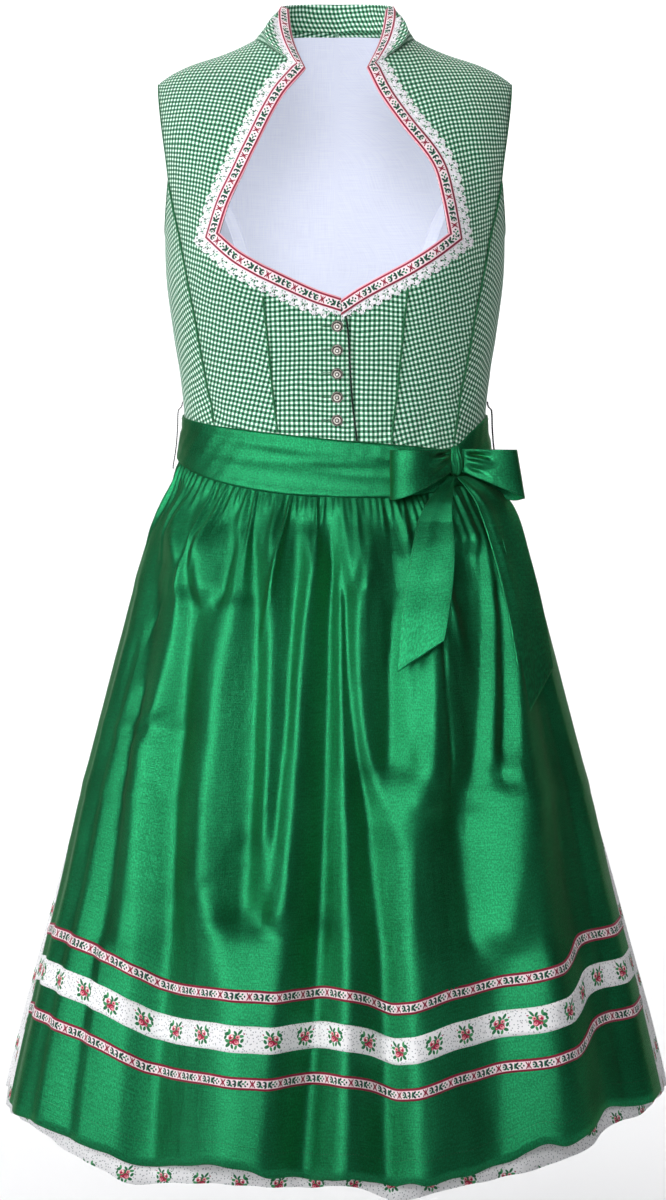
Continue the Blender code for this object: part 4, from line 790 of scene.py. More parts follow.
# One bouquet, as the ribbon's figure: leaves first, then blossoms with pale hearts.
BOUQUET = (
    (-6, 4.2, 2.8, 1.5, 20, "green"), (-4.2, 6.2, 2.1, 1.2, 100, "leaf"), (-7.8, 1, 1.9, 1.1, 60, "green"),
    (-5.8, -1.8, 2.3, 1.4, -20, "leaf"), (-5, -5, 2.6, 1.4, 42, "green"), (-1.2, -6, 2, 1.2, 110, "green"),
    (2.2, -6.6, 2, 1.1, 70, "leaf"), (5.8, -4.8, 2.3, 1.4, -25, "green"), (7.4, -0.8, 2, 1.3, 55, "green"),
    (6.6, 2.8, 2.4, 1.2, 8, "leaf"), (5.4, 6, 3, 1.1, 50, "green"), (1.4, 5.2, 2.2, 1.1, 130, "green"),
    (-8.6, 6.4, 0.9, 0.5, 150, "green"), (9.2, 4.8, 0.9, 0.5, 30, "red"), (0.2, 0.2, 4.8, 3.8, 0, "green"),
    (-2.5, 1.7, 2.6, 2.1, 30, "pink"), (-3, 1.1, 1.6, 1.1, 40, "red"), (-1.6, 2.5, 0.9, 0.6, 20, "white"),
    (1.9, -2.1, 3.1, 2.6, -15, "red"), (2.7, -2.6, 2, 1.4, -20, "pink"), (2.2, -2, 0.9, 0.6, 0, "red"),
    (3.6, 2, 1.9, 1.5, 10, "pink"), (3.3, 1.7, 0.9, 0.7, 10, "red"), (-2.2, -2.6, 1.7, 1.4, 0, "red"),
    (-2.4, -2.9, 0.7, 0.5, 0, "pink"),
)


def print_look(name, across, up, stagger=True, size=1.0):
    """White cotton printed with small bouquets in offset rows and fine grey sprigs."""
    look = Look(name, linear(240, 240, 240), 0.86, Sheen_Weight=0.06, Specular_IOR_Level=0.25)
    uv = look.uv()
    u, v = look.split(uv)

    def odd(count):
        return look.math("MODULO", look.math("ABSOLUTE", look.math("FLOOR", count)), 2.0)

    if stagger:
        u = look.plus(u, look.times(odd(look.math("DIVIDE", v, up)), across / 2))
        v = look.math("SUBTRACT", look.math("MODULO", look.plus(v, 100 * up), up), up / 2)
    # every other bouquet is turned over
    turned = look.math("SUBTRACT", look.times(odd(look.plus(look.math("DIVIDE", u, across), 0.5)), 2.0), 1.0)
    u = look.times(look.math("WRAP", u, across / 2, -across / 2), turned)
    local = look.vector("MULTIPLY", look.node("CombineXYZ", u, v, 0.0), (1000 / size, 1000 / size, 0.0))
    dots = look.nodes.new("ShaderNodeTexVoronoi")
    dots.voronoi_dimensions = "2D"
    dots.inputs["Scale"].default_value = 290.0
    look.put(dots.inputs["Vector"], uv)
    plain, sprigs = PRINT_COLOURS["ground"], PRINT_COLOURS["grey"]
    ground = look.mix(look.step(dots.outputs[0], 0.22, 0.13, 0.0, 0.72), plain, sprigs)
    ground = look.mix(look.step(look.vector("LENGTH", local, out=1), 9.4, 8.4), ground, plain)
    look.colour(look.shapes(ground, local, BOUQUET, PRINT_COLOURS))
    weave = look.bump(look.threads(uv, 0.4 * MM), 0.05 * MM)
    look.bump(look.noise(uv, 60.0, 2.0), 0.4 * MM, 0.6, before=weave)
    return look.material


def plain_look(name, colour, roughness, bump_scale, bump_height, **constants):
    """Thread or cord of one colour with small bumps."""
    look = Look(name, colour, roughness, **constants)
    place = look.node("TexCoord", out=3)
    tone = look.noise(place, bump_scale * 0.5, 2.0)
    look.colour(look.shaded(colour, look.step(tone, 0.25, 0.75, 0.85, 1.12)))
    look.bump(look.noise(place, bump_scale, 2.0), bump_height, 0.8)
    return look.material


# colours of a button from its centre bead out to the rim
SILVER_RINGS = (
    (0.00, (255, 253, 250)), (0.19, (250, 247, 242)), (0.26, (8, 6, 6)), (0.35, (14, 12, 10)),
    (0.42, (226, 220, 214)), (0.60, (212, 204, 196)), (0.68, (40, 34, 30)), (0.80, (60, 52, 48)),
    (0.90, (168, 160, 152)), (1.00, (50, 44, 40)),
)


def silver_look():
    """Cast silver, bright on what is rubbed and dark in the hollows between the rings."""
    look = Look("antique_silver", linear(168, 160, 150), 0.34, Metallic=0.35)
    place = look.node("TexCoord", out=3)
    rings = look.ramp(look.split(look.uv())[0], SILVER_RINGS)
    tone = look.noise(place, 900.0, 2.0)
    look.colour(look.shaded(rings, look.step(tone, 0.3, 0.7, 0.78, 1.12)))
    look.rough(look.step(tone, 0.3, 0.7, 0.26, 0.44))
    look.bump(look.noise(place, 1500.0, 2.0), 0.06 * MM, 0.6)
    return look.material


# ================================================================ seams and panels
def sign_of(side):
    return -1 if side == "right" else 1


def seam_on(points, side, back=False):
    """Places of seam points that are given in mm for the wearer's left side."""
    return plane_places(mm(*points) * (sign_of(side), 1), back)


def mirrored(places, side):
    return np.array(places, float) * (sign_of(side), 1)


def neck_edge(table, side):
    return edge_through(plane_places(mm(*table[side])))


def waist_edge(left, right):
    """Foot of a panel between its two side edges."""
    start, end = left(0)[0], right(0)[0]

    def at(s):
        angle = start + (end - start) * s
        return np.stack((angle, waist_z(angle)), -1)

    return at


def footed_edge(places):
    """Edge through places, the first of which is moved to the waist seam."""
    places = np.array(places, float)
    places[0, 1] = waist_z(places[0, 0])
    return edge_through(places)


def tip_place(side, back=False):
    return plane_places((sign_of(side) * TIP_X, shoulder_height(TIP_X)), back)


def shoulder_edge(side, back=False):
    def at(s):
        x = NECK_POINT_X + (TIP_X - NECK_POINT_X) * np.asarray(s, float)
        return plane_places(np.stack((sign_of(side) * x, shoulder_height(x)), -1), back)

    return at


def neck_back_edge(side):
    points = [(NECK_POINT_X, float(shoulder_height(NECK_POINT_X))), *mm(*NECK_BACK[:-1])]
    places = plane_places(mirrored(points, side), True)
    return edge_through([*places, (180 * sign_of(side), NECK_BACK[-1][1] * MM)])


def front_seam_edge(side):
    return footed_edge([*seam_on(FRONT_SEAM, side), *plane_places(mm(NECK_CENTRE[side][-1]))])


def side_front_seam_edge(side):
    return footed_edge(seam_on(SIDE_FRONT_SEAM, side))


def side_seam_edge(side):
    return edge_through(mirrored([(90, waist_z(90.0)), (90, -0.28), UNDERARM], side))


def back_seam_edge(side):
    return footed_edge([*seam_on(BACK_SEAM, side, True), mirrored(BACK_SEAM_TOP, side)])


def placket_edge(shift=0.0, drop=0.0):
    places = plane_places(mm(*PLACKET) - (shift, 0))
    places[-1, 1] -= drop
    return footed_edge(places)


# parts of the panels' edges: coarse steps, finer steps and how far they crowd towards the end
UP_CENTRE = ((7, 56),)
UP_SIDE_FRONT = ((9, 54),)
UP_FRONT_SIDE = ((7, 56), (2, 12), (6, 40), (2, 24, 1.7))
UP_BACK = ((9, 54), (4, 36, 1.7))
ACROSS_BACK = ((5, 40), (4, 16), (4, 16), (5, 40))


def steps_over(*parts):
    """Shares along a joined edge, stepped as its parts say."""
    total = sum(part[0] for part in parts)
    out, done = [0.0], 0
    for coarse, count, *ease in parts:
        out += list((done + coarse * shares(fine(count), *ease)[1:]) / total)
        done += coarse
    return np.array(out)


def front_centre_places(side):
    neck = plane_places(mm(*NECK_CENTRE[side]))
    if side == "right":
        left, right, top = front_seam_edge("right"), placket_edge(), edge_through(neck[::-1])
    else:
        left, right = placket_edge(20 * MM, 12 * MM), front_seam_edge("left")
        top = edge_through([left(1.0), *neck])
    return coons(waist_edge(left, right), top, left, right, steps_over(*UP_CENTRE), steps_over((6, 34)))


def front_side_places(side):
    inner = joined_edge(
        (7, front_seam_edge(side)),
        (2, neck_edge(NECK_SIDE, side)),
        (6, neck_edge(NECK_RISE, side)),
        (2, neck_edge(NECK_FRONT, side)),
    )
    armhole = edge_through([*seam_on(ARMHOLE_FRONT[:-1], side), tip_place(side)])
    outer = joined_edge((9, side_front_seam_edge(side)), (8, armhole))
    up, across = steps_over(*UP_FRONT_SIDE), steps_over((5, 40))
    return coons(waist_edge(inner, outer), shoulder_edge(side), inner, outer, up, across)


def underarm_places(inner, outer, top):
    return coons(waist_edge(inner, outer), top, inner, outer, steps_over(*UP_SIDE_FRONT), steps_over((4, 28)))


def side_front_places(side):
    inner = side_front_seam_edge(side)
    top = edge_through([inner(1.0), *mirrored(ARMHOLE_UNDER_FRONT, side)])
    return underarm_places(inner, side_seam_edge(side), top)


def back_side_places(side):
    top = edge_through(mirrored(ARMHOLE_UNDER_BACK, side))
    return underarm_places(side_seam_edge(side), back_seam_edge(side), top)


def onward(edge):
    """The edge with its angles counted on past 180."""

    def at(s):
        places = np.array(edge(s))
        places[..., 0] += np.where(places[..., 0] < 0, 360.0, 0.0)
        return places

    return at


def backward(edge):
    return lambda s: edge(1 - np.asarray(s, float))


def back_centre_places():
    edges = {}
    for side in SIDES:
        armhole = edge_through([*mirrored(ARMHOLE_BACK, side), tip_place(side, True)])
        edges[side] = joined_edge((9, back_seam_edge(side)), (4, armhole))
    top = joined_edge(
        (5, backward(shoulder_edge("left", True))),
        (4, neck_back_edge("left")),
        (4, onward(backward(neck_back_edge("right")))),
        (5, onward(shoulder_edge("right", True))),
    )
    left, right = edges["left"], onward(edges["right"])
    return coons(waist_edge(left, right), top, left, right, steps_over(*UP_BACK), steps_over(*ACROSS_BACK))


# ================================================================ stand collar
def stand_point(foot, turn, climb, side):
    """Points of the stand collar between its foot and its rim, at angles round the rim."""
    sign = sign_of(side)
    top = stacked(sign * rim_half_width(turn) + RIM_SHIFT, rim_depth(turn), rim_height(turn))
    climb = np.asarray(climb, float)
    point = foot * (1 - climb)[..., None] + top * climb[..., None]
    front = (turn - STAND_SEAM_ANGLE) / (STAND_FRONT_ANGLE - STAND_SEAM_ANGLE)
    point[..., 0] += sign * STAND_BOW * np.maximum(0.0, front) * np.sin(math.pi * climb)
    wing = wing_across(np.clip(1 - front, 0, 1)) * wing_up(np.clip(climb, 0, 1))
    point[..., 0] += sign * WING_OUT * wing
    point[..., 1] -= WING_FORWARD * wing
    return point


def stand_rows(side, foot, turn, climbs):
    return np.array([stand_point(foot, turn, 0 * turn + climb, side) for climb in climbs])


def stand_normal(foot, turn, side):
    sign = sign_of(side)
    rise = stand_point(foot, turn, 0 * turn + 1.0, side) - foot
    ahead, behind = np.clip(turn + 1.5, 0, STAND_FRONT_ANGLE), np.maximum(turn - 1.5, 0)
    widening = sign * (rim_half_width(ahead) - rim_half_width(behind))
    normal = np.cross(stacked(widening, rim_depth(ahead) - rim_depth(behind), 0.0), rise)
    outward = stacked(sign * np.sin(np.radians(turn)), np.cos(np.radians(turn)), 0.0)
    return unit(normal * np.sign((normal * outward).sum(-1, keepdims=True)))


def front_foot(side, share):
    return over(neck_edge(NECK_FRONT, side)(share))[0]


def front_turn(share):
    return STAND_FRONT_ANGLE + (STAND_SEAM_ANGLE - STAND_FRONT_ANGLE) * share


# ================================================================ bodice
PANEL_WEAVES = {
    # lean of the weave, slope of its rows towards the shoulder, angle the weave is counted from
    "front_centre": (0.0, 0.0, 0.0),
    "front_side": (-13.0, 0.32, 0.0),
    "side_front": (20.0, 0.0, 90.0),
    "back_side": (-12.0, 0.0, 90.0),
    "back": (0.0, 0.18, 180.0),
}
UNDERLAP_DEPTH = 2.5 * MM
LINING_OFF, LINING_SET_DOWN = 2.5 * MM, 3.0 * MM
# seam tapes inside the back, painted paler by a stronger glow (painted light)
TAPE_WIDTH, TAPE_LENGTH, TAPE_OFF, TAPE_HEM = 12.5 * MM, 330 * MM, 3.5 * MM, 0.5 * MM


def underlap(points):
    """How far the left front steps back to pass below the overlapping right front."""
    line = over(placket_edge()(np.linspace(0, 1, 41)))[0]
    edge_x = np.interp(points[..., 2], line[:, 2], line[:, 0])
    return -UNDERLAP_DEPTH * (1 - smooth_step(2 * MM, 13 * MM, points[..., 0] - edge_x))


def make_bodice():
    gingham = gingham_look()
    places_of = {"back_centre": back_centre_places()}
    for side in SIDES:
        places_of["front_centre_" + side] = front_centre_places(side)
        places_of["front_side_" + side] = front_side_places(side)
        places_of["side_front_" + side] = side_front_places(side)
        places_of["back_side_" + side] = back_side_places(side)
    for name, places in places_of.items():
        panel, side = name.rsplit("_", 1)
        points = body_skin(places)
        if name == "front_centre_left":
            points = body_skin(places, underlap(points))
        flip = side == "right" and panel != "front_centre"
        lean, slope, centre = PANEL_WEAVES[panel]
        uv = cloth_round_body(places, lean * sign_of(side), slope, centre * sign_of(side))
        parts = [(points, uv, flip)]
        if panel == "front_side":
            share = shares(fine(20))
            rows = stand_rows(side, front_foot(side, share), front_turn(share), shares(fine(24)))
            parts.append((rows, arc_uv(rows) + (0.02, 0.01), flip))
        cloth_piece(name + "_cloth", parts, gingham, "gingham_cotton")

    share = shares(fine(32))
    halves = []
    for side in SIDES:
        foot = over(neck_back_edge(side)(1 - share))[0]
        halves.append(stand_rows(side, foot, STAND_SEAM_ANGLE * share, shares(fine(20))))
    right, left = halves
    collar = np.concatenate((left[:, ::-1], right[:, 1:]), axis=1)
    piece = cloth_piece("collar_back_cloth", [(collar, arc_uv(collar), False)], gingham, "gingham_cotton")
    make_lining(places_of)
    return places_of


def make_lining(places_of):
    # every lining glows as painted light; the side linings glow less, a darker copy that paints shade
    back, painted_shade_look = lining_look("lining", 0.56), lining_look("lining_shaded", 0.45)
    for name, panel, look, set_down in (
        ("lining_back", "back_centre", back, 1.0),
        ("lining_side_right", "back_side_right", painted_shade_look, 0.6),
        ("lining_side_left", "back_side_left", painted_shade_look, 0.6),
    ):
        places = places_of[panel].copy()
        near_top = smooth_step(0.85, 1.0, down_shares(len(places) - 1))
        places[..., 1] -= LINING_SET_DOWN * set_down * near_top
        point, normal = over(places)
        uv = cloth_round_body(places, centre=180.0)
        grid = (point - normal * LINING_OFF, uv, panel == "back_side_right")
        cloth_piece(name + "_cloth", [grid], look, "lining_cotton")

    # the tapes glow more than the lining: painted light that makes them paler
    painted_light_tape = lining_look("lining_tape", 0.66)
    for side in SIDES:
        seam = back_seam_edge(side)(np.linspace(0.02, 0.97, fine(60)))[:, None, :]
        aside = np.linspace(-TAPE_HEM, TAPE_WIDTH - TAPE_HEM, fine(8))[None, :, None]
        places = seam - aside * (sign_of(side) / ARC_PER_DEGREE, 0)
        point, normal = over(places)
        roll = 0.25 * MM * np.cos(2 * math.pi * aside / TAPE_WIDTH)
        points = point - normal * (TAPE_OFF + roll)
        grid = (points, arc_uv(points), side == "right")
        piece = cloth_piece("lining_tape_" + side, [grid], painted_light_tape, "lining_cotton", 0.4 * MM, node="")


# ================================================================ neckline ribbon and lace
RIBBON_WIDTH, LACE_WIDTH = 12.5 * MM, 12.5 * MM
TRIM_LIFT = 1.1 * MM
RIBBON_START_X = 6 * MM
LINE_REACH = 4 * MM
SCALLOP, PICOT, LACE_WAVE = 10.6 * MM, 1.77 * MM, 7.3 * MM
RIBBON_LAP, LACE_LAP = 0.7 * MM, 0.8 * MM  # how far each reaches below what lies over it
RIBBON_SPACING, LACE_SPACING, LACE_CLIMB = 2.4 * MM, 0.55 * MM, 0.78
RIBBON_COLUMNS, LACE_COLUMNS = 8, round(26 * (1))


def square_to(way, sign):
    """Direction square to a way in the upright plane, out of the neckline."""
    return np.stack((-way[..., 1], way[..., 0]), -1) * -sign


class PlaneLine:
    """Edge line in the upright plane, with its straight continuation beyond both ends."""

    def __init__(self, points, sign):
        self.points, self.sign, self.marks = points, sign, lengths(points)
        self.length = self.marks[-1]
        self.start_way, self.end_way = self.way(np.array((0.0, self.length)))

    def on(self, a):
        return along_table(a, self.marks, self.points)

    def way(self, a):
        half = LINE_REACH / 2
        a = np.clip(a, half, self.length - half)
        return unit(self.on(a + half) - self.on(a - half))

    def __call__(self, a, r):
        a, r = np.broadcast_arrays(a, r)
        way = self.way(a)
        inside = np.clip(a, 0, self.length)
        point = self.on(inside) + (a - inside)[..., None] * way
        return point + square_to(way, self.sign) * r[..., None]


def neck_lines(side):
    """The two straight stretches of the neckline: V to corner and corner to notch."""
    t = np.linspace(0, 1, 120)
    lines = []
    for tables in ((NECK_CENTRE, NECK_SIDE), (NECK_RISE,)):
        places = np.concatenate([neck_edge(table, side)(t) for table in tables])
        points = ring_point(places[:, 0], places[:, 1])[:, [0, 2]]
        keep = np.append(True, np.linalg.norm(np.diff(points, axis=0), axis=1) > 1e-6)
        lines.append(PlaneLine(points[keep], sign_of(side)))
    return lines


def collar_row(side, climb, distances):
    """Points and normals of the stand at one height, at distances back from its front edge."""
    t = np.linspace(0, 1, 60)
    foot = np.concatenate((front_foot(side, t), over(neck_back_edge(side)(t[1:40]))[0]))
    turn = np.concatenate((front_turn(t), STAND_SEAM_ANGLE * (1 - t[1:40])))
    row, higher, lower = stand_rows(side, foot, turn, (climb, min(climb + 0.05, 1.0), max(climb - 0.05, 0.0)))
    normals = unit(np.cross(np.gradient(row, axis=0), higher - lower))
    normals = normals * np.sign((normals * stand_normal(foot, turn, side)).sum(-1, keepdims=True))
    at, facing = (along_table(distances, lengths(row), table) for table in (row, normals))
    return at + unit(row[0] - row[1]) * np.maximum(-distances, 0)[:, None], facing


def half_turn(first, second):
    """Tangent of half the angle between two ways."""
    dot = float((first * second).sum())
    return math.sqrt((1 - dot) / (1 + dot))


def neck_band(side, inner, outer, climb_end, spacing, across):
    """Grids of a band that follows the neckline: points, normals, length along it and distance off it."""
    low, rise = neck_lines(side)
    r = np.linspace(inner, outer, across + 1)
    corner = half_turn(low.end_way, rise.start_way) * r
    notch = front_foot(side, np.array(0.0))
    above = stand_point(notch[None], np.array([STAND_FRONT_ANGLE]), np.array([0.5]), side)[0]
    bend = half_turn(rise.end_way, unit(above[[0, 2]] - notch[[0, 2]])) * r
    way, start = low.start_way, low.points[0]
    first = np.maximum((RIBBON_START_X - start[0] - square_to(way, sign_of(side))[0] * r) / way[0], -0.8 * r)
    grids = []
    for line, begin, end, before in (
        (low, first, low.length + corner, 0.0),
        (rise, -corner, rise.length - bend, low.length),
    ):
        a = begin + (end - begin) * down_shares(fine(round(line.length / spacing)))
        grids.append((*over(plane_places(line(a, r))), a + before, r))

    mitre = rise(rise.length - bend, r)
    foot = collar_row(side, 0.0, r)[0]
    s = down_shares(fine(max(round(0.02 / spacing), 4)))[..., None]
    under, under_normal = over(plane_places(mitre * (1 - s) + foot[:, [0, 2]] * s))
    climbs = np.linspace(0, climb_end, fine(round(0.075 * climb_end / spacing)) + 1)[1:]
    rows = [collar_row(side, climb, r) for climb in climbs]
    points = np.concatenate((under, [row[0] for row in rows]))
    normals = np.concatenate((under_normal, [row[1] for row in rows]))
    for _ in range(3):
        normals[1:-1] = unit(normals[:-2] + 2 * normals[1:-1] + normals[2:])
    grids.append((points, normals, lengths(points) - bend + low.length + rise.length, r))
    return grids


LACE_SLITS = (
    # slits of one lace scallop: lean, and where each starts and ends across the lace
    (-0.36, 0.26, 0.38), (-0.13, 0.34, 0.56), (0.12, 0.34, 0.56), (0.36, 0.26, 0.38),
    (-0.22, 0.66, 0.74), (0.20, 0.66, 0.74), (-0.02, 0.12, 0.18), (0.48, 0.10, 0.18),
)


def make_neck_ribbon(side, look):
    grids = []
    band = neck_band(side, -RIBBON_LAP, RIBBON_WIDTH, 1.0, RIBBON_SPACING, RIBBON_COLUMNS)
    for points, normals, a, r in band:
        puff = 1.0 * MM * smooth_step(0.0, 2.0 * MM, r) - 0.5 * MM * smooth_step(0.7, 1.0, r / RIBBON_WIDTH)
        lifted = points + normals * (TRIM_LIFT + puff)[None, :, None]
        grids.append((lifted, stacked(a, r - RIBBON_WIDTH / 2), side == "left"))
    piece = cloth_piece("neck_ribbon_" + side + "_cloth", grids, look, "woven_ribbon", 0.4 * MM)


def make_neck_lace(side, look):
    grids = []
    inner, outer = RIBBON_WIDTH - LACE_LAP, RIBBON_WIDTH + LACE_WIDTH
    band = neck_band(side, inner, outer, LACE_CLIMB, LACE_SPACING, LACE_COLUMNS)
    for stretch, (grid, normals, a, r) in enumerate(band):
        depth = (r - RIBBON_WIDTH) / LACE_WIDTH + 0 * a
        phase = a / SCALLOP
        reach = 0.62 + 0.34 * abs(np.cos(math.pi * phase)) ** 0.8 + 0.05 * np.cos(2 * math.pi * a / PICOT)
        if stretch == 0:
            reach = reach - 0.45 * (1 - smooth_step(4 * MM, 11 * MM, a))
        if stretch == 2:
            reach = reach * (1 - 0.35 * smooth_step(0.15, 1.0, down_shares(len(a) - 1)))
        solid = depth <= reach
        for lean, start, end in LACE_SLITS:
            aside = ((phase + 0.5) % 1 - 0.5 - lean * (0.45 + 0.8 * depth)) * SCALLOP
            solid &= ~((abs(aside) < 0.40 * MM) & (depth > start) & (depth < end))
        keep = solid[:-1, :-1] & solid[1:, :-1] & solid[:-1, 1:] & solid[1:, 1:]
        wave = 0.5 * MM * np.sin(2 * math.pi * a / LACE_WAVE + 0.7) * np.clip(depth, 0, 1)
        relief = 0.18 * MM * np.cos(2 * math.pi * depth * 4)
        lift = TRIM_LIFT - 0.1 * MM + (wave + relief) * np.clip(3 * depth, 0, 1)
        grids.append((grid + normals * lift[..., None], stacked(a, r), side == "left", keep))
    piece = cloth_piece("neck_lace_" + side + "_thread", grids, look, "white_lace", 0.35 * MM)


def make_neck_trims():
    ribbon = ribbon_look("neck_ribbon", RIBBON_WIDTH, 29 * MM, 1.04, 1.0, (0.95, 0.90))
    lace = plain_look("lace_thread", linear(238, 236, 241), 0.85, 2400.0, 0.3 * MM, Sheen_Weight=0.1)
    for side in SIDES:
        make_neck_ribbon(side, ribbon)
        make_neck_lace(side, lace)


# ================================================================ piping, buttons, thread loops
PIPING_RADIUS, ARMHOLE_PIPING_RADIUS, PLACKET_SHADOW_RADIUS = 1.1 * MM, 1.05 * MM, 0.95 * MM
PIPING_TOPS = {"right": -0.2400, "left": -0.2310}
PIPING_SEAMS = {
    # seam: its edge, the angle at which it meets the sash and its gap above the sash
    "front": (front_seam_edge, 27, 2 * MM),
    "side": (side_front_seam_edge, 57, 4 * MM),
    "back": (back_seam_edge, 140, 3 * MM),
}


def share_at_height(edge, z):
    steps = np.linspace(0, 1, 401)
    return float(steps[np.argmin(abs(edge(steps)[:, 1] - z))])


def make_piping(places_of):
    cord = plain_look("piping_cotton", linear(4, 96, 54), 0.7, 1300.0, 0.22 * MM, Sheen_Weight=0.1)
    for side in SIDES:
        sign = sign_of(side)
        for seam, (edge_on, angle, gap) in PIPING_SEAMS.items():
            edge = edge_on(side)
            low = share_at_height(edge, sash_top(sign * angle) + gap)
            high = share_at_height(edge, PIPING_TOPS[side]) if seam == "front" else 0.985
            places = edge(np.linspace(low, high, fine(90)))
            wander = 0.12 * MM * np.sin(np.arange(len(places)) * 0.9)
            path, normals = body_skin(places, PIPING_RADIUS * 0.75 + wander), over(places)[1]
            name = "piping_" + seam + "_" + side
            tube_piece(name + "_cord", path, PIPING_RADIUS, normals, cord, "green_piping", name)
        if side == "right":
            make_placket_shadow_cord()
        make_armhole_piping(places_of, side, cord)


def make_placket_shadow_cord():
    # painted shadow: a thin dark tube along the placket edge stands in for the shadow there
    places = placket_edge(-0.2 * MM)(np.linspace(0.0, 0.97, fine(90)))
    shade = plain_look("placket_shade", linear(2, 32, 20), 0.8, 1300.0, 0.2 * MM)
    path = body_skin(places, 0.1 * MM)
    tube_piece("placket_edge_cord", path, PLACKET_SHADOW_RADIUS, over(places)[1], shade, None)


def make_armhole_piping(places_of, side, cord):
    front_start = len(steps_over(*UP_FRONT_SIDE[:2])) - 1
    ring = np.concatenate(
        (
            places_of["front_side_" + side][front_start:, -1][::-1],
            places_of["side_front_" + side][-1][1:],
            places_of["back_side_" + side][-1][1:],
            places_of["back_centre"][fine(54) + 1 : -1, 0 if side == "left" else -1],
        )
    )[::2]
    middle = body_point(sign_of(side) * 90.0, (UNDERARM[1] + float(shoulder_height(TIP_X))) / 2)
    points, normals = body_skin(ring), over(ring)[1]
    inward = middle - points
    inward = unit(inward - normals * (inward * normals).sum(-1, keepdims=True))
    path = points - normals * 0.3 * MM + inward * 0.7 * MM
    rings, faces = tube_rings(path, ARMHOLE_PIPING_RADIUS, normals, 8, closed=True)
    name = "piping_armhole_" + side
    placed(mesh_piece(name + "_cord", rings, faces, cord), "green_piping", name)


BUTTON_COUNT, BUTTON_X, BUTTON_TOP_Z, BUTTON_PITCH = 5, 2.1 * MM, -0.2690, 23.45 * MM
BUTTON_RADIUS, BUTTON_OFF, BUTTON_DOME, BUTTON_BOSS = mm(5.8, 1.0, 3.0, 1.1)
BUTTON_SCALLOPS, BUTTON_BEADS, BUTTON_RAYS, BUTTON_TURN = 16, 6, 12, 0.21
# share of the radius, half width and depth in mm
BUTTON_MOATS = ((0.77, 0.045, 0.55), (0.46, 0.04, 0.55), (0.27, 0.04, 0.44))


def make_buttons():
    """Filigree buttons: a scalloped rim, a ring of beads, rays and a raised centre bead."""
    silver = silver_look()
    around = 96
    share = 1 - down_shares(fine(20))
    for k in range(BUTTON_COUNT):
        (place,) = plane_places([(BUTTON_X, BUTTON_TOP_Z - BUTTON_PITCH * k)])
        point, normal = over(place)
        side = unit(np.cross(UP, normal))
        up = np.cross(normal, side)
        turn = np.linspace(0, 2 * math.pi, around, endpoint=False)[None, :] + BUTTON_TURN * k
        scallops, beads, rays = (np.cos(n * turn) for n in (BUTTON_SCALLOPS, BUTTON_BEADS, BUTTON_RAYS))
        height = BUTTON_DOME * np.sqrt(np.maximum(1 - share**2.2, 0)) ** 1.15
        height = height + 0.55 * MM * bell(share, 0.90, 0.07) * (0.5 + 0.5 * scallops)
        height += 0.75 * MM * bell(share, 0.62, 0.10) * (0.35 + 0.65 * beads**2)
        height += 0.30 * MM * bell(share, 0.38, 0.10) * rays
        height += BUTTON_BOSS * np.sqrt(np.maximum(1 - (share / 0.24) ** 2, 0))
        height -= sum(depth * MM * bell(share, at, width) for at, width, depth in BUTTON_MOATS)
        radius = BUTTON_RADIUS * share * (1 + 0.03 * scallops * bell(share, 1.0, 0.12))
        across, above = (radius * np.cos(turn))[..., None], (radius * np.sin(turn))[..., None]
        rows = point + side * across + up * above + normal * (BUTTON_OFF + height)[..., None]
        rows = np.concatenate((rows[:1] - normal * 0.5 * MM, rows))
        last, tip = (len(rows) - 2) * around, (len(rows) - 1) * around
        rings = np.arange(len(rows) - 1)[:, None] * around + np.append(np.arange(around), 0)
        quads = np.stack((rings[:-1, :-1], rings[:-1, 1:], rings[1:, 1:], rings[1:, :-1]), -1)
        faces = quads.reshape(-1, 4).tolist()
        faces += [(last + j, last + (j + 1) % around, tip) for j in range(around)]
        faces.append(tuple(range(around))[::-1])
        name = "button_" + str(k + 1)
        uv = stacked(np.concatenate(([[1.0]], share)), turn)
        placed(mesh_piece(name + "_cast", rows, faces, silver, uv), "antique_silver", name)


BELT_LOOP = (
    # height, and how far the thread stands off the body
    (-343, 1.1), (-348, 2.6), (-352, 6.2), (-370, 7.6), (-390, 7.6), (-408, 7.4), (-413, 6.6),
)
STRAND_TURN, STRAND_OFF, STRAND_RADIUS = 1.9 * MM, 0.30 * MM, 0.40 * MM


def make_belt_loops():
    thread = plain_look("loop_thread", linear(6, 14, 10), 0.75, 2000.0, 0.15 * MM, Specular_IOR_Level=0.1)
    (lift,) = columns_of(BELT_LOOP, MM)
    for side, thick in zip(SIDES, (1.0, 1.5)):
        angle = 90.0 * sign_of(side)
        z = np.linspace(BELT_LOOP[0][0] * MM, BELT_LOOP[-1][0] * MM, fine(90))
        normals = ring_normal(angle, z)
        path = ring_point(angle, z) + normals * lift(z)[:, None]
        aside = np.cross(normals, UP)
        strands, faces, base = [], [], 0
        for strand in (0.0, math.pi):
            turn = ((z - z[0]) / STRAND_TURN * math.pi + strand)[:, None]
            twisted = path + (normals * np.cos(turn) + aside * np.sin(turn)) * STRAND_OFF * thick
            rings, here = tube_rings(twisted, STRAND_RADIUS * thick, normals, 6)
            strands.append(rings)
            faces += [tuple(index + base for index in face) for face in here]
            base += len(rings)
        name = "belt_loop_" + side
        piece = mesh_piece(name + "_thread", np.concatenate(strands), faces, thread)
        placed(piece, "black_thread", name)


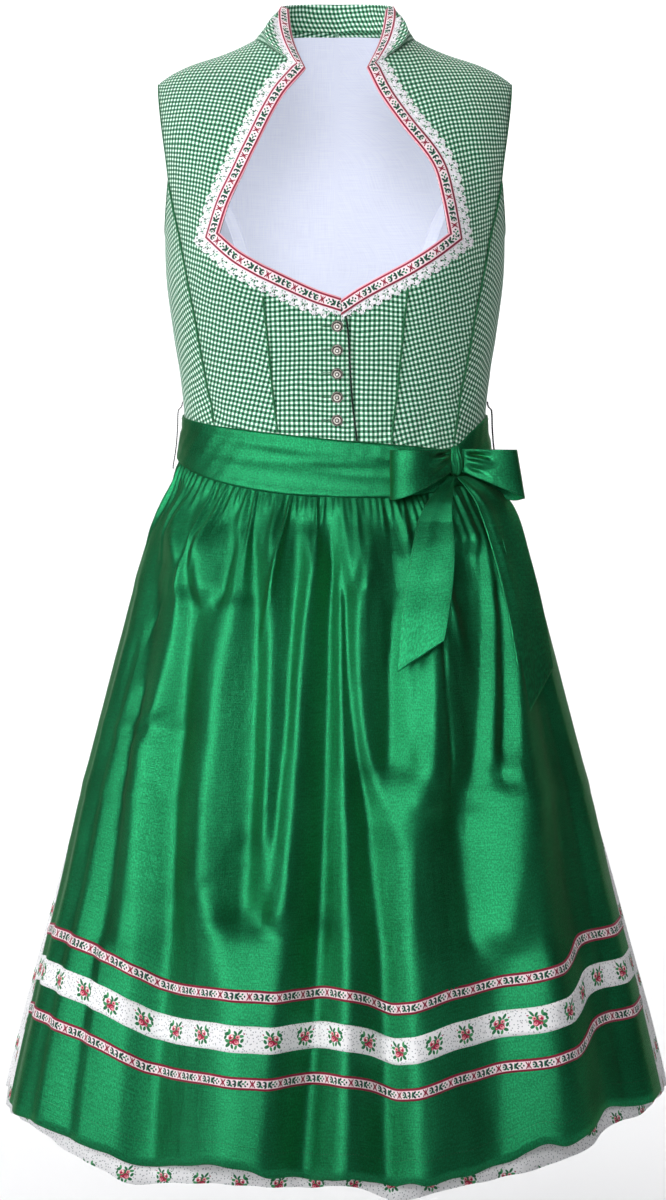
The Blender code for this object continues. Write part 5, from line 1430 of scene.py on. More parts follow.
# ================================================================ sash and bow
SASH_TOP_LIFT, SASH_FOOT_LIFT, SASH_FULLNESS = 1.4 * MM, 3.6 * MM, 1.4 * MM
SASH_CREASES = (
    # angle, reach round the body, share down the sash, its slant, half width and depth in mm
    (-30, 34, 0.22, 0.0012, 0.07, 0.9), (-8, 30, 0.42, -0.002, 0.08, 1), (8, 26, 0.6, 0.0015, 0.06, 0.9),
    (34, 14, 0.35, 0.006, 0.07, 1.3), (38, 12, 0.62, -0.005, 0.07, 1.2), (-62, 22, 0.5, 0.001, 0.08, 1),
    (-80, 18, 0.3, 0.002, 0.07, 0.8), (70, 16, 0.45, -0.004, 0.08, 1.1), (110, 26, 0.35, 0.001, 0.08, 0.9),
    (150, 26, 0.6, -0.001, 0.07, 1), (-150, 28, 0.4, 0.0012, 0.08, 1), (-115, 24, 0.65, 0.0012, 0.07, 0.9),
)
SASH_CUT, LOOP_CUT, LOOP_AREA = (0.055, 1.05), (0.052, 0.155), 0.0062
SASH_CLOTH, BOW_CLOTH, SASH_RADIUS = 1.2 * MM, 1.0 * MM, 0.165
STITCH_PITCH, STITCH_LENGTH, CLOSE_PITCH = mm(3.0, 2.1, 2.9)
SASH_STITCH_LEVELS = (0.055, 0.885)


def sash_points(angle, down, lift=0.0):
    """Outer face of the sash at shares down its height."""
    angle, down = np.broadcast_arrays(angle, down)
    top, bottom = sash_top(angle), sash_bottom(angle)
    z = top + (bottom - top) * down
    out = SASH_TOP_LIFT + (SASH_FOOT_LIFT - SASH_TOP_LIFT) * smooth_step(0.0, 0.7, down) + SASH_FULLNESS
    for middle, reach, start, slant, width, depth in SASH_CREASES:
        level = start + slant * (angle - middle)
        across = bell(down, level, width) - 0.7 * bell(down, level + 0.16, 1.3 * width)
        out = out - depth * MM * bell(angle, middle, reach) * across
    soft = 0.25 * MM * np.sin(angle * 0.31 + 5 * down) + 0.2 * MM * np.sin(angle * 0.83 + 2.0 + 9 * down)
    edges = 0.7 * MM * (bell(down, 0.0, 0.03) + bell(down, 1.0, 0.03))
    normals = ring_normal(angle, z)
    return ring_point(angle, z) + normals * (out + soft - edges + lift)[..., None], normals


def make_sash(taffeta, stitches):
    angle, down = across_shares(fine(400), -180, 180), down_shares(fine(26), 1, 0)
    points, _ = sash_points(angle, down)
    points[:, -1] = points[:, 0]
    grid = (points, stacked(-down * SASH_CUT[0], np.radians(angle) * SASH_RADIUS), False)
    piece = cloth_piece("sash_cloth", [grid], taffeta, "green_taffeta", SASH_CLOTH)
    for level in SASH_STITCH_LEVELS:
        path, normals = sash_points(np.linspace(-180, 180, fine(700)), level, 0.05 * MM)
        stitches.run(path, normals, CLOSE_PITCH, STITCH_LENGTH)


KNOT_ANGLE, KNOT_Z, KNOT_LIFT = 50.5, -0.4035, 0.9 * MM
KNOT_WIDTH, KNOT_DEPTH, KNOT_HEIGHT = mm(7.48, 8.0, 14.85)
# place round the knot, half width and depth in mm of each groove
KNOT_GROOVES = ((-1.0, 0.16, 0.9), (-0.45, 0.13, 1.2), (0.1, 0.14, 1.1), (0.62, 0.15, 1.0), (1.2, 0.2, 0.8))


def make_knot(taffeta):
    normal = ring_normal(KNOT_ANGLE, KNOT_Z)
    out = SASH_FOOT_LIFT + 1.6 * MM + KNOT_DEPTH + KNOT_LIFT
    centre = ring_point(KNOT_ANGLE, KNOT_Z) + normal * out
    rise = down_shares(fine(48), -math.pi / 2, math.pi / 2)
    turn = across_shares(fine(72), -math.pi, math.pi)
    grooves = 0.0
    for at, width, depth in KNOT_GROOVES:
        grooves = grooves + depth * MM * bell(turn + 0.25 * np.sin(2 * rise), at, width)
    reach = np.abs(np.cos(rise)) ** 0.8 * (1 + 0.06 * np.cos(3 * rise + turn))
    across = (KNOT_WIDTH - grooves) * reach * np.sin(turn)
    ahead = (KNOT_DEPTH - grooves) * reach * np.cos(turn)
    upward = KNOT_HEIGHT * np.sin(rise) * (1 + 0.05 * np.sin(turn * 2))
    side = unit(np.cross(UP, normal))
    points = centre + side * across[..., None] + normal * ahead[..., None] + UP * upward[..., None]
    points[:, -1] = points[:, 0]
    grid = (points, stacked(turn * 0.008, rise * 0.016), False)
    cloth_piece("bow_knot_cloth", [grid], taffeta, "green_taffeta", 0)


Loop = namedtuple("Loop", "name root tip bulge slant lip")
LOOPS = (
    Loop("bow_loop_right", (0.1158, -0.1128), (0.0575, -0.1420), 16 * MM, 0.0, 2 * MM),
    Loop("bow_loop_left", (0.1296, -0.0998), (0.1890, -0.0850), 10 * MM, 4.5 * MM, 7 * MM),
)
LOOP_ROOT_GAP, LOOP_ROOT_HALF, LOOP_TIP_HALF, LOOP_DROP = 2 * MM, 11.5 * MM, 25 * MM, 14 * MM
LOOP_PLEATS = (
    # Level across the loop, width, depth and reach from the knot. The first row's pleats sink into
    # the front half and stand out of the back half, the second row's do the opposite.
    ((-0.40, 0.20, 6.0, 0.55), (0.15, 0.14, 3.0, 0.45), (0.62, 0.14, 3.4, 0.50)),
    ((-0.40, 0.18, 3.0, 0.60), (0.30, 0.18, 3.2, 0.55)),
)


def make_loops(taffeta, stitches):
    for loop in LOOPS:
        root, tip = np.array(loop.root), np.array(loop.tip)
        length = np.linalg.norm(tip - root)
        along = (tip - root) / length
        outward = np.array((along[1], -along[0]))
        outward = -outward if outward[1] > 0 else outward
        u, v = down_shares(fine(120)), across_shares(fine(44), 1, -1)
        front, reach = u < 0.5, np.sin(math.pi * u)
        half = LOOP_ROOT_HALF + (LOOP_TIP_HALF - LOOP_ROOT_HALF) * reach
        offset = loop.bulge * np.sin(2 * math.pi * u) + LOOP_ROOT_GAP * np.cos(math.pi * u)
        for part, table in zip((front, ~front), LOOP_PLEATS):
            for level, width, depth, end in table:
                lean = level * (1 - 0.25 * reach)
                pleat = bell(v, lean, width) - 0.6 * bell(v, lean + 2.2 * width, 1.2 * width)
                near = smooth_step(0.02, 0.18, reach) * (1 - smooth_step(0.35 * end, end, reach))
                offset = offset + np.where(part, -1, 1) * depth * MM * pleat * near
        curl = 1.6 * MM * reach**2 * np.sin(2.2 * v + 0.6) * abs(np.cos(math.pi * u))
        offset = offset + curl * np.where(front, 1, -1)
        out_along = length * reach - loop.slant * v * reach**2
        plan = root + along * out_along[..., None] + outward * offset[..., None]
        lip = loop.lip * np.where(front, 0, 9.5 * reach**3 * (1 - reach)) * smooth_step(0.1, 1.0, -v)
        points = stacked(plan[..., 0], plan[..., 1], KNOT_Z - LOOP_DROP * reach + half * v - lip)
        normals = unit(np.cross(np.gradient(points, axis=0), np.gradient(points, axis=1)))
        facing = normals if (normals[len(u) // 4, v.size // 2, :2] * outward).sum() > 0 else -normals
        grid = (points, stacked(half * v, 2 * length * u), facing is not normals)
        piece = cloth_piece(loop.name + "_cloth", [grid], taffeta, "green_taffeta", BOW_CLOTH, 0)
        for edge in (2, -3):
            path = points[:, edge] + facing[:, edge] * 0.55 * MM
            stitches.run(path, facing[:, edge], STITCH_PITCH, STITCH_LENGTH)


TAIL_TOP_OFF, TAIL_OFF, TAIL_CLEAR, TAIL_TILT = 11 * MM, 16 * MM, 3.5 * MM, 15 * MM
# x and height of both edges of a tail, from the knot down
TAILS = {
    "bow_tail_right": (
        (115, -419, 121.5, -419.6), (94, -443, 118, -443), (83.5, -462, 117.5, -462),
        (76.5, -490, 119.5, -484), (70, -520, 118.5, -512), (65.5, -552, 114.5, -545),
        (61, -610.5, 108, -579),
    ),
    "bow_tail_left": (
        (123.5, -419.8, 133, -419), (139.5, -441, 170, -437), (148, -461, 186, -457),
        (160, -500, 198.5, -500), (169, -535, 207.5, -535), (177, -572, 215, -568),
        (191, -660, 222.5, -613),
    ),
}
# half width, depth in mm, middle and its drift down the tail, and the shares between which the ridge fades
TAIL_RIDGES = {
    "bow_tail_right": ((0.16, 1.6, 0.45, -0.25, 0.30, 0.75), (0.14, -1.2, 0.75, 0.0, 0.15, 0.5)),
    "bow_tail_left": ((0.12, 3.4, 0.22, 0.10, 0.45, 0.95), (0.14, 1.4, 0.72, 0.0, 0.25, 0.6)),
}


def front_y(x, z, lift):
    share = np.minimum(abs(x) / (half_width(z) + lift), 0.97)
    return -(front_depth(z) + lift) * (1 - share**SECTION_POWER) ** (1 / SECTION_POWER)


def make_tails(taffeta, stitches):
    # the left tail gets a brighter copy of the taffeta: painted light
    painted_light_taffeta = taffeta_look("tail_taffeta", 1.3)
    for name, table in TAILS.items():
        left = name == "bow_tail_left"
        shape = Smooth(np.linspace(0, 1, len(table)), mm(*table))
        down, s = down_shares(fine(130)), across_shares(fine(40))
        x0, z0, x1, z1 = np.moveaxis(shape(down), -1, 0)
        x, z = x0 + (x1 - x0) * s, z0 + (z1 - z0) * s
        settle = smooth_step(0.0, 0.2, down)
        off = TAIL_TOP_OFF + (TAIL_OFF - TAIL_TOP_OFF) * settle
        # clear of the folds of the apron within nine rows, evened out over 17 rows
        below = APRON_LIFT + fold_rise(*np.moveaxis(plane_places(stacked(x, z)), -1, 0)) + TAIL_CLEAR
        high = np.array([below[max(k - 9, 0) : k + 10].max() for k in range(len(down))])
        high = np.convolve(np.pad(high, 8, mode="edge"), np.ones(17) / 17, mode="valid")[:, None]
        off = off + (np.maximum(high, off) - off) * settle
        out = 0 * z
        for width, depth, middle, drift, start, end in TAIL_RIDGES[name]:
            ridge = depth * MM * bell(s, middle + drift * down, width)
            out = out + ridge * (1 - smooth_step(start, end, down)) * smooth_step(0.0, 0.12, down)
        out = out + 1.0 * MM * np.sin(2 * math.pi * (s + 0.25)) * settle
        out = out + 0.35 * MM * np.sin(23 * down + 5 * s) * np.sin(7 * s + 2 + 9 * down) * settle
        if not left:
            out = out + TAIL_TILT * (s - 0.3) * settle
        points = stacked(x, front_y(x, z, off) - out, z)
        grid = (points, stacked(0.045 * s, 0.20 * down), True)
        look = painted_light_taffeta if left else taffeta
        piece = cloth_piece(name + "_cloth", [grid], look, "green_taffeta", BOW_CLOTH, 0)
        normals = unit(np.cross(np.gradient(points, axis=1), np.gradient(points, axis=0)))
        if normals[len(down) // 2, 2, 1] > 0:
            normals = -normals
        sides = slice(12, None)
        for path, facing in (
            (points[sides, 2], normals[sides, 2]),
            (points[sides, -3], normals[sides, 2]),
            (points[-3], normals[-3]),
        ):
            stitches.run(path + facing * 0.6 * MM, facing, STITCH_PITCH, STITCH_LENGTH)


# ================================================================ apron
APRON_LIFT, APRON_TOP_OVER = 2.0 * MM, 5 * MM
APRON_CUT, APRON_HALF_CLOTH = (0.95, 0.665), 0.52
SEAM_Z, HEM_LIFT_START = -0.42, 0.990
HEM_STITCHES_UP = 23.5 * MM
# Faces that the long folds turn: how steep, then height in mm, middle and half width in degrees
APRON_FACES = (
    (
        0.62, (-456, -65.5, 5.2), (-510, -56.2, 5.6), (-563, -53.6, 5.2), (-617, -52.5, 4.2),
        (-655, -51.6, 3),
    ),
    (0.45, (-688, -53.2, 2.5), (-722, -51.6, 2), (-774, -50, 1.8), (-870, -48.5, 1.8)),
    (0.6, (-448, -53.5, 2), (-490, -47.9, 1.9), (-533, -43.8, 2.2)),
    (0.6, (-447, -39.5, 1.6), (-490, -34.2, 1.4), (-532, -33.5, 1.8)),
    (
        0.62, (-550, -38, 5.6), (-582, -38.5, 4.8), (-614, -37.9, 4.4), (-666, -37, 4.8),
        (-718, -36.2, 4.2), (-770, -35.2, 4), (-822, -34.2, 4), (-873, -31.4, 5.6), (-930, -29, 7.5),
        (-1083, -28, 8),
    ),
    (
        0.62, (-455, -28, 4.2), (-507, -23.8, 3), (-559, -22, 2.1), (-612, -20.8, 1.9), (-715, -19.4, 1.9),
        (-767, -19, 2.1), (-835, -18, 3),
    ),
    (
        0.66, (-482, -11.8, 1.6), (-507, -10.2, 2), (-559, -11.4, 1.9), (-611, -11.9, 1.5),
        (-663, -11.8, 1.4), (-715, -12.2, 1.6), (-766, -12.6, 1.7), (-817, -13.2, 1.7), (-845, -14.5, 2),
    ),
    (
        0.66, (-461, -0.1, 1.6), (-506, 0.6, 1.4), (-559, 0.2, 1.6), (-663, 0, 1.9), (-766, -0.1, 2.4),
        (-868, -0.3, 2.8), (-960, -1.2, 3), (-1083, -2.5, 3.4),
    ),
    (0.66, (-454, 2.8, 1.8), (-489, 3.2, 1.4), (-524, 4.6, 1.6)),
    (0.66, (-461, 11.8, 1.8), (-489, 11.2, 1.4), (-522, 8.2, 2)),
    (
        0.68, (-541, 5.8, 2.1), (-576, 5.4, 1.5), (-611, 5.5, 1.4), (-646, 6.2, 1.3), (-680, 7.2, 1.3),
        (-715, 9.1, 1.6), (-749, 11.8, 2.5), (-783, 13.2, 3.8), (-817, 13.4, 3.4), (-868, 13.6, 2.6),
        (-950, 13.4, 2.4), (-1083, 12.8, 2.8),
    ),
    (0.58, (-560, 21.2, 1.6), (-608, 19.4, 2.3), (-663, 18.5, 2.3), (-698, 18.6, 3.4), (-735, 16.5, 3)),
    (0.56, (-560, 27.6, 1.4), (-608, 26.2, 1.8), (-664, 23.9, 2.1), (-700, 22, 2.2)),
    (0.6, (-500, 51, 1.2), (-561, 48.4, 1.6), (-596, 45.6, 1.4), (-666, 40.6, 1.4), (-710, 37.8, 1.7)),
    (
        0.7, (-448, 53.5, 1.6), (-509, 54.8, 1.8), (-544, 54.5, 1.8), (-580, 53.1, 1.6), (-632, 49.5, 1.5),
        (-684, 46.2, 1.5), (-712, 44.1, 1.6),
    ),
    (0.62, (-734, 38.6, 5.8), (-768, 37.4, 5.2), (-803, 36.4, 4.6), (-837, 35.4, 3.6), (-864, 34, 3.1)),
    (0.45, (-887, 41, 2.8), (-930, 39, 3.6), (-1083, 36, 4)),
    (0.5, (-470, 66, 1.6), (-560, 66.5, 1.6), (-700, 66, 2), (-900, 64, 2.4), (-1083, 62, 2.6)),
    (0.45, (-470, -76, 1.8), (-600, -71, 2.2), (-800, -68, 2.6), (-1083, -66, 3)),
    (0.26, (-600, -62.6, 0.9), (-760, -59.8, 1), (-1083, -57.6, 1.1)),
    (0.3, (-640, -55, 0.9), (-780, -52.2, 1), (-1083, -48.8, 1.1)),
    (-0.24, (-600, -66.4, 2), (-760, -63.9, 2.4), (-1083, -62.4, 2.8)),
    (-0.26, (-640, -58.4, 1.8), (-780, -56.2, 2.2), (-1083, -53.6, 2.8)),
    (
        -0.55, (-455, -57.8, 1.8), (-508, -48.9, 1), (-561, -46.2, 1.3), (-614, -45.4, 1.8),
        (-668, -45.6, 3.2), (-772, -43.1, 3.1), (-875, -40.5, 2.6), (-1083, -38, 2.4),
    ),
    (-0.5, (-460, -43.5, 3.2), (-490, -41, 3.6), (-532, -38.6, 2.2)),
    (
        -0.5, (-455, -34, 1.6), (-489, -30.9, 1.9), (-560, -27.4, 2.8), (-612, -27.6, 3.9),
        (-717, -26.6, 4.6), (-820, -25.6, 3.8), (-850, -23.8, 2.4),
    ),
    (
        -0.58, (-460, -19, 3), (-489, -17.6, 3.2), (-559, -16.5, 3), (-611, -16, 2.5), (-663, -15.4, 2.1),
        (-715, -15.6, 1.6), (-766, -15.8, 1.2),
    ),
    (
        -0.78, (-480, -4.6, 2.6), (-507, -3.9, 3), (-559, -5.4, 3.6), (-663, -6.1, 3.9), (-766, -6.8, 4),
        (-868, -7.4, 3.8), (-1083, -9.5, 3.6),
    ),
    (
        -0.62, (-540, 2.9, 0.9), (-611, 3, 1.3), (-663, 4, 1.8), (-715, 4.8, 2.4), (-766, 5.8, 3),
        (-868, 7, 3.6), (-1083, 6.4, 3.8),
    ),
    (
        -0.5, (-470, 16.8, 3.6), (-489, 16.6, 3.8), (-559, 13.6, 5.2), (-611, 12, 4.6), (-663, 11.8, 3.8),
        (-697, 12.4, 2.6),
    ),
    (
        -0.42, (-500, 37, 7), (-612, 35.1, 6.2), (-664, 32.4, 5.6), (-716, 29.6, 5.4), (-767, 25.6, 5.6),
        (-818, 24.4, 6.4), (-869, 24.4, 6.6), (-1083, 24, 6.6),
    ),
    (-0.5, (-540, 51.6, 1), (-632, 46.4, 1.5), (-690, 42.6, 1.5)),
    (-0.45, (-470, 60, 3.6), (-632, 56.5, 4.4), (-800, 51, 5), (-1083, 49, 4.6)),
)
# a face that ends below or starts above these heights fades out; heights in mm, the base in degrees
FADE_BELOW, FADE_ABOVE, FACE_FADE, FACE_SPREAD, FOLD_BASE = -470, -1070, 22, 1.15, 13
# short dents in the cloth: angle, height, lean, half length, half width and depth in mm
KINKS = (
    (-50.5, -668, 60, 30, 4.5, 4), (-53, -655, -50, 22, 4, -2.4), (-11.6, -690, 78, 8, 3.5, 2.2),
    (-12.2, -698, -70, 10, 3, -1.6), (8, -626, 72, 16, 4, 2), (-31.5, -822, 66, 26, 5.5, 3),
    (-30, -640, 74, 20, 4.5, 1.6), (31.5, -600, 8, 30, 3, 2.6), (30.2, -680, 4, 40, 3.2, 2.2),
    (33.6, -757, 80, 18, 4.5, 2.4), (41.5, -716, -70, 16, 4, 2.2), (-58, -560, 20, 30, 4, 1.4),
    (-43.5, -735, -30, 30, 4.5, 1.2), (-22, -775, 50, 18, 4, 1.4), (24, -915, 70, 24, 4.5, 1.4),
)
Gather = namedtuple("Gather", "angle drift length width height")
GATHER_LENGTHS, GATHER_CHANCES = [0.018, 0.030, 0.048, 0.075, 0.110], [0.28, 0.28, 0.22, 0.14, 0.08]


def seam_gathers(start, end, pitch, seed):
    """Small folds that run down from the waist seam, uneven in place, length and height."""
    chance = np.random.RandomState(seed)
    out, angle = [], start + pitch * 0.4
    while angle < end:
        length = float(chance.choice(GATHER_LENGTHS, p=GATHER_CHANCES))
        drift = float(chance.uniform(-3.0, 3.0)) * length / 0.08
        width = float(chance.uniform(0.30, 0.50)) * pitch
        height = float(chance.uniform(2.6, 4.4)) * MM * (0.8 + 6 * length)
        out.append(Gather(angle, drift, length, width, height))
        angle += pitch * float(chance.uniform(0.65, 1.4))
    return out


APRON_GATHERS, BACK_GATHERS = seam_gathers(-85, 85, 2.7, 7), seam_gathers(89, 271, 2.9, 11)


def gathered(table, angle, below):
    """Rise of the seam gathers at an angle and a depth below the seam."""
    total = 0 * angle * below
    for gather in table:
        share = np.clip(below / gather.length, 0, 1.6)
        centre = gather.angle + gather.drift * share
        width = gather.width * (0.75 + 0.55 * share)
        swell = smooth_step(-4 * MM, 9 * MM, below) * (1 - smooth_step(0.45, 1.6, share))
        near = abs(angle - centre) < 4 * width
        total = total + np.where(near, gather.height * swell * bell(angle, centre, width), 0)
    return total


FOLD_ANGLES = np.linspace(-92, 92, 737)
FOLD_LEVELS = np.linspace(-1.13, -0.40, 220)
ANGLE_STEP, LEVEL_STEP = FOLD_ANGLES[1] - FOLD_ANGLES[0], FOLD_LEVELS[1] - FOLD_LEVELS[0]


def fold_table():
    """Rise of the long folds over angle and height, summed up from the faces that they turn."""
    angle, z = FOLD_ANGLES[None, :], FOLD_LEVELS[:, None]
    slope = 0 * angle * z
    for steep, *rows in APRON_FACES:
        heights, middles, widths = np.array(sorted(rows)).T
        centre, width = (np.interp(z / MM, heights, column) for column in (middles, widths))
        low, high = heights[0], heights[-1]
        strength = steep + 0 * z
        if high < FADE_BELOW:
            strength = strength * (1 - smooth_step(high, high + FACE_FADE, z / MM))
        if low > FADE_ABOVE:
            strength = strength * smooth_step(low - FACE_FADE, low, z / MM)
        slope = slope + strength * np.exp(-(((angle - centre) / (FACE_SPREAD * width)) ** 4))
    rise = np.cumsum(slope, axis=1) * ANGLE_STEP * half_width(z) * math.pi / 180
    # folds stand on the mean of what lies round them, and nothing dips below the body
    spread = int(FOLD_BASE / ANGLE_STEP)
    kernel = np.exp(-0.5 * (np.arange(-3 * spread, 3 * spread + 1) / spread) ** 2)
    for row in rise:
        padded = np.pad(row, 3 * spread, mode="reflect", reflect_type="odd")
        row -= np.convolve(padded, kernel / kernel.sum(), mode="valid")
    low = rise.min(axis=1)
    even = np.convolve(np.pad(low, 12, mode="edge"), np.ones(25) / 25, mode="valid")
    rise = rise - np.minimum(low, even)[:, None]
    # the folds flatten towards the side edges
    return np.maximum(rise, 0.0) * (1.25 - 0.85 * smooth_step(50, 84, abs(angle)))


FOLD_RISE = fold_table()


def fold_rise(angle, z):
    return on_grid(FOLD_RISE, (z - FOLD_LEVELS[0]) / LEVEL_STEP, (angle - FOLD_ANGLES[0]) / ANGLE_STEP)


def hem_rise(angle, z):
    return rise_at(angle) * smooth_step(-RISE_START_Z, -RISE_FULL_Z, -z)


def apron_skin(share, z, lift=0.0):
    """Outer face of the apron at a share of its width from -1 to 1 and a nominal height."""
    fall = np.clip((SEAM_Z - z) / (SEAM_Z - APRON_HEM_Z), 0, 1)
    angle = share * (APRON_EDGE_TOP_ANGLE + (APRON_EDGE_HEM_ANGLE - APRON_EDGE_TOP_ANGLE) * fall)
    level = z + hem_rise(angle, z) + apron_lift_at(angle) * smooth_step(HEM_LIFT_START, -APRON_HEM_Z, -z)
    below = sash_bottom(angle) - level
    rise = fold_rise(angle, level) * smooth_step(0.004, 0.070, below)
    rise = rise + gathered(APRON_GATHERS, angle, below)
    arc = half_width(level) * math.pi / 180
    for middle, height, lean, length, width, depth in np.array(KINKS) * (1, MM, 1, MM, MM, MM):
        along, aside = crease_frame((angle - middle) * arc, level - height, lean)
        rise = rise - depth * bell(aside, 0, width) * bell(along, 0, length)
    out = APRON_LIFT + np.maximum(rise, 0.0) * smooth_step(1.0, 0.955, abs(share)) + lift
    normals = ring_normal(angle, level)
    return ring_point(angle, level) + normals * out[..., None], normals


def levels_between(top, bottom, count):
    """Nominal heights from the hem to the seam, closer together under the sash."""
    down = down_shares(count, 1, 0)
    return top + (bottom - top) * (0.35 * down + 0.65 * down**1.7)


def make_apron(taffeta, stitches):
    share = across_shares(fine(432), -1, 1)
    z = levels_between(sash_bottom(share * APRON_EDGE_TOP_ANGLE) + APRON_TOP_OVER, APRON_HEM_Z, fine(100))
    grid = (apron_skin(share, z)[0], stacked(share * APRON_HALF_CLOTH, z), False)
    piece = cloth_piece("apron_cloth", [grid], taffeta, "green_taffeta", node="apron_skirt")
    line = np.linspace(-0.995, 0.995, fine(900))
    path, normals = apron_skin(line, 0 * line + APRON_HEM_Z + HEM_STITCHES_UP, 0.15 * MM)
    stitches.run(path, normals, 3.3 * MM, 2.3 * MM, 0.22 * MM)


TRIM_WIDTH, TRIM_LIFT_OFF, TRIM_PUFF, TRIM_PUCKER = mm(12.0, 0.35, 0.5, 0.35)
# height of the top and of the foot of each trim on the apron
TRIM_LEVELS = {
    "trim_ribbon_upper": (-0.907, -0.919),
    "trim_floral": (-0.940, -0.965),
    "trim_ribbon_lower": (-0.987, -0.999),
}


def make_trims():
    ribbon = (ribbon_look("trim_ribbon", TRIM_WIDTH, 29.5 * MM, 1.05, 1.02, (1.2, 1.1)), "woven_ribbon", 4)
    floral = (print_look("trim_floral_print", 39 * MM, 1.0, False, 1.12), "rose_print_cotton", 6)
    for name, (top, bottom) in TRIM_LEVELS.items():
        look, slot, rows = floral if name == "trim_floral" else ribbon
        columns, width, middle = fine(520), top - bottom, (top + bottom) / 2
        share, level = across_shares(columns, -1, 1), down_shares(rows, bottom, top)
        edge = abs(level - middle) / (width / 2)
        pucker = TRIM_PUCKER * np.sin(share * 410 + 3 * np.sin(share * 37)) * (0.5 + 0.5 * edge)
        points, _ = apron_skin(share, level, TRIM_LIFT_OFF + pucker * 0.5 + TRIM_PUFF * (1 - edge**4))
        along = lengths(points[rows // 2])
        grid = (points, stacked(along - along[columns // 2], level - middle), False)
        piece = cloth_piece(name + "_cloth", [grid], look, slot, 0.4 * MM)


# ================================================================ skirt
SKIRT_SINK, SKIRT_TOP_GAP = 3.0 * MM, 0.9 * MM
FLARE_LEFT, FLARE_RIGHT, FLARE_SPREAD = 11 * MM, 8 * MM, 9
SKIRT_SIDE_ANGLE, BACK_START_Z, SKIRT_CLOTH_RADIUS = 88.0, -0.41, 0.33
# angle at the waist and at the hem, rise at the waist and at the hem in mm, half width in degrees
BACK_FOLDS = (
    (96, 95.5, 3, 9.5, 3.4), (108, 107, 2.5, 11, 4.2), (119, 120.5, 3, 10, 3.2), (131, 132, 2.6, 11, 4.6),
    (143.5, 145, 3, 9, 3.4), (155, 157, 2.6, 11, 4.4), (168, 169.5, 3, 10.5, 3.6), (180, 181, 2.4, 11, 4.4),
    (192.5, 193, 3, 9.5, 3.2), (203.5, 205, 2.6, 11, 4.6), (216, 216.5, 3, 10, 3.4),
    (228.5, 229, 2.6, 11, 4.4), (240, 241, 3, 9.5, 3.4), (252.5, 252, 2.6, 11, 4.2),
    (263, 264, 3, 9.5, 3.2),
)


def front_skirt_rise(angle, z):
    """The skirt follows the folds of the apron that lies on it."""
    fade = smooth_step(SKIRT_SIDE_ANGLE, 80.0, abs(angle))
    rise = 0.42 * np.minimum(fold_rise(angle, z), 18 * MM) * fade * smooth_step(-0.47, -0.60, z)
    return rise + 1.2 * MM * np.sin(angle * 0.9) * smooth_step(-1.04, -1.09, z) * fade


def back_skirt_rise(angle, z, top):
    fall = np.clip((BACK_START_Z - z) / (BACK_START_Z - SKIRT_HEM_Z), 0, 1)
    rise = 0 * z * angle
    for top_angle, hem_angle, top_rise, hem_rise, spread in BACK_FOLDS:
        middle = top_angle + (hem_angle - top_angle) * fall
        turn = (angle - middle) / (spread * np.where(angle < middle, 1.25, 0.85))
        rise = rise + (top_rise + (hem_rise - top_rise) * fall) * MM * np.exp(-abs(turn) ** 2.4)
    rise = rise * smooth_step(BACK_START_Z, -0.47, z) + gathered(BACK_GATHERS, angle, top - z) * 0.8
    rise = rise + 0.5 * MM * np.sin(angle * 0.7 + 12 * z) * np.sin(z * 23 + angle * 0.05) * fall
    from_side = 180 - SKIRT_SIDE_ANGLE - abs(angle - 180)
    return rise * smooth_step(0.0, 5.0, from_side)


def make_skirt():
    printed = print_look("rose_print", 42 * MM, 36 * MM)
    for name, start, end, columns, rows in (
        ("skirt_front", -SKIRT_SIDE_ANGLE, SKIRT_SIDE_ANGLE, fine(260), fine(44)),
        ("skirt_back", SKIRT_SIDE_ANGLE, 360 - SKIRT_SIDE_ANGLE, fine(330), fine(88)),
    ):
        angle = across_shares(columns, start, end)
        centred = np.where(angle > 180, angle - 360, angle)
        top = waist_z(centred) - SKIRT_TOP_GAP
        z = levels_between(top, SKIRT_HEM_Z, rows)
        z = z + hem_rise(centred, z) - skirt_drop_at(centred) * smooth_step(0.94, 1.083, -z)
        rise = front_skirt_rise(angle, z) if name == "skirt_front" else back_skirt_rise(angle, z, top)
        right = bell(angle, -90, FLARE_SPREAD) + bell(angle, 270, FLARE_SPREAD)
        flare = FLARE_LEFT * bell(angle, 90, FLARE_SPREAD) + FLARE_RIGHT * right
        out = rise + smooth_step(-0.60, -1.02, z) * flare - SKIRT_SINK
        points = ring_point(centred, z) + ring_normal(centred, z) * out[..., None]
        grid = (points, stacked(np.radians(angle) * SKIRT_CLOTH_RADIUS, z), False)
        piece = cloth_piece(name + "_cloth", [grid], printed, "rose_print_cotton")


# ================================================================ stitches over the dress
HOLE_START_X, HOLE_END_X, HOLE_PITCH = -13.5 * MM, -3.5 * MM, 0.42 * MM


def thread_look(name, colour):
    return plain_look(name, colour, 0.5, 2200.0, 0.1 * MM, Sheen_Weight=0.1)


def make_buttonholes():
    sewing = Stitches()
    for k in range(BUTTON_COUNT):
        z = BUTTON_TOP_Z - BUTTON_PITCH * k
        for x in np.arange(HOLE_START_X, HOLE_END_X, HOLE_PITCH):
            for sign in (-1, 1):
                places = plane_places([(x, z + sign * 0.15 * MM), (x, z + sign * 1.5 * MM)])
                sewing.add(*body_skin(places, 0.12 * MM), over(places)[1][0], 0.2 * MM)
    sewing.piece("buttonhole_stitches", thread_look("hole_thread", linear(20, 92, 58)))


def make_placket_stitches(stitches):
    places = placket_edge(3.2 * MM)(np.linspace(0.02, 0.93, fine(300)))
    stitches.run(body_skin(places, 0.1 * MM), over(places)[1], CLOSE_PITCH, 2.0 * MM)


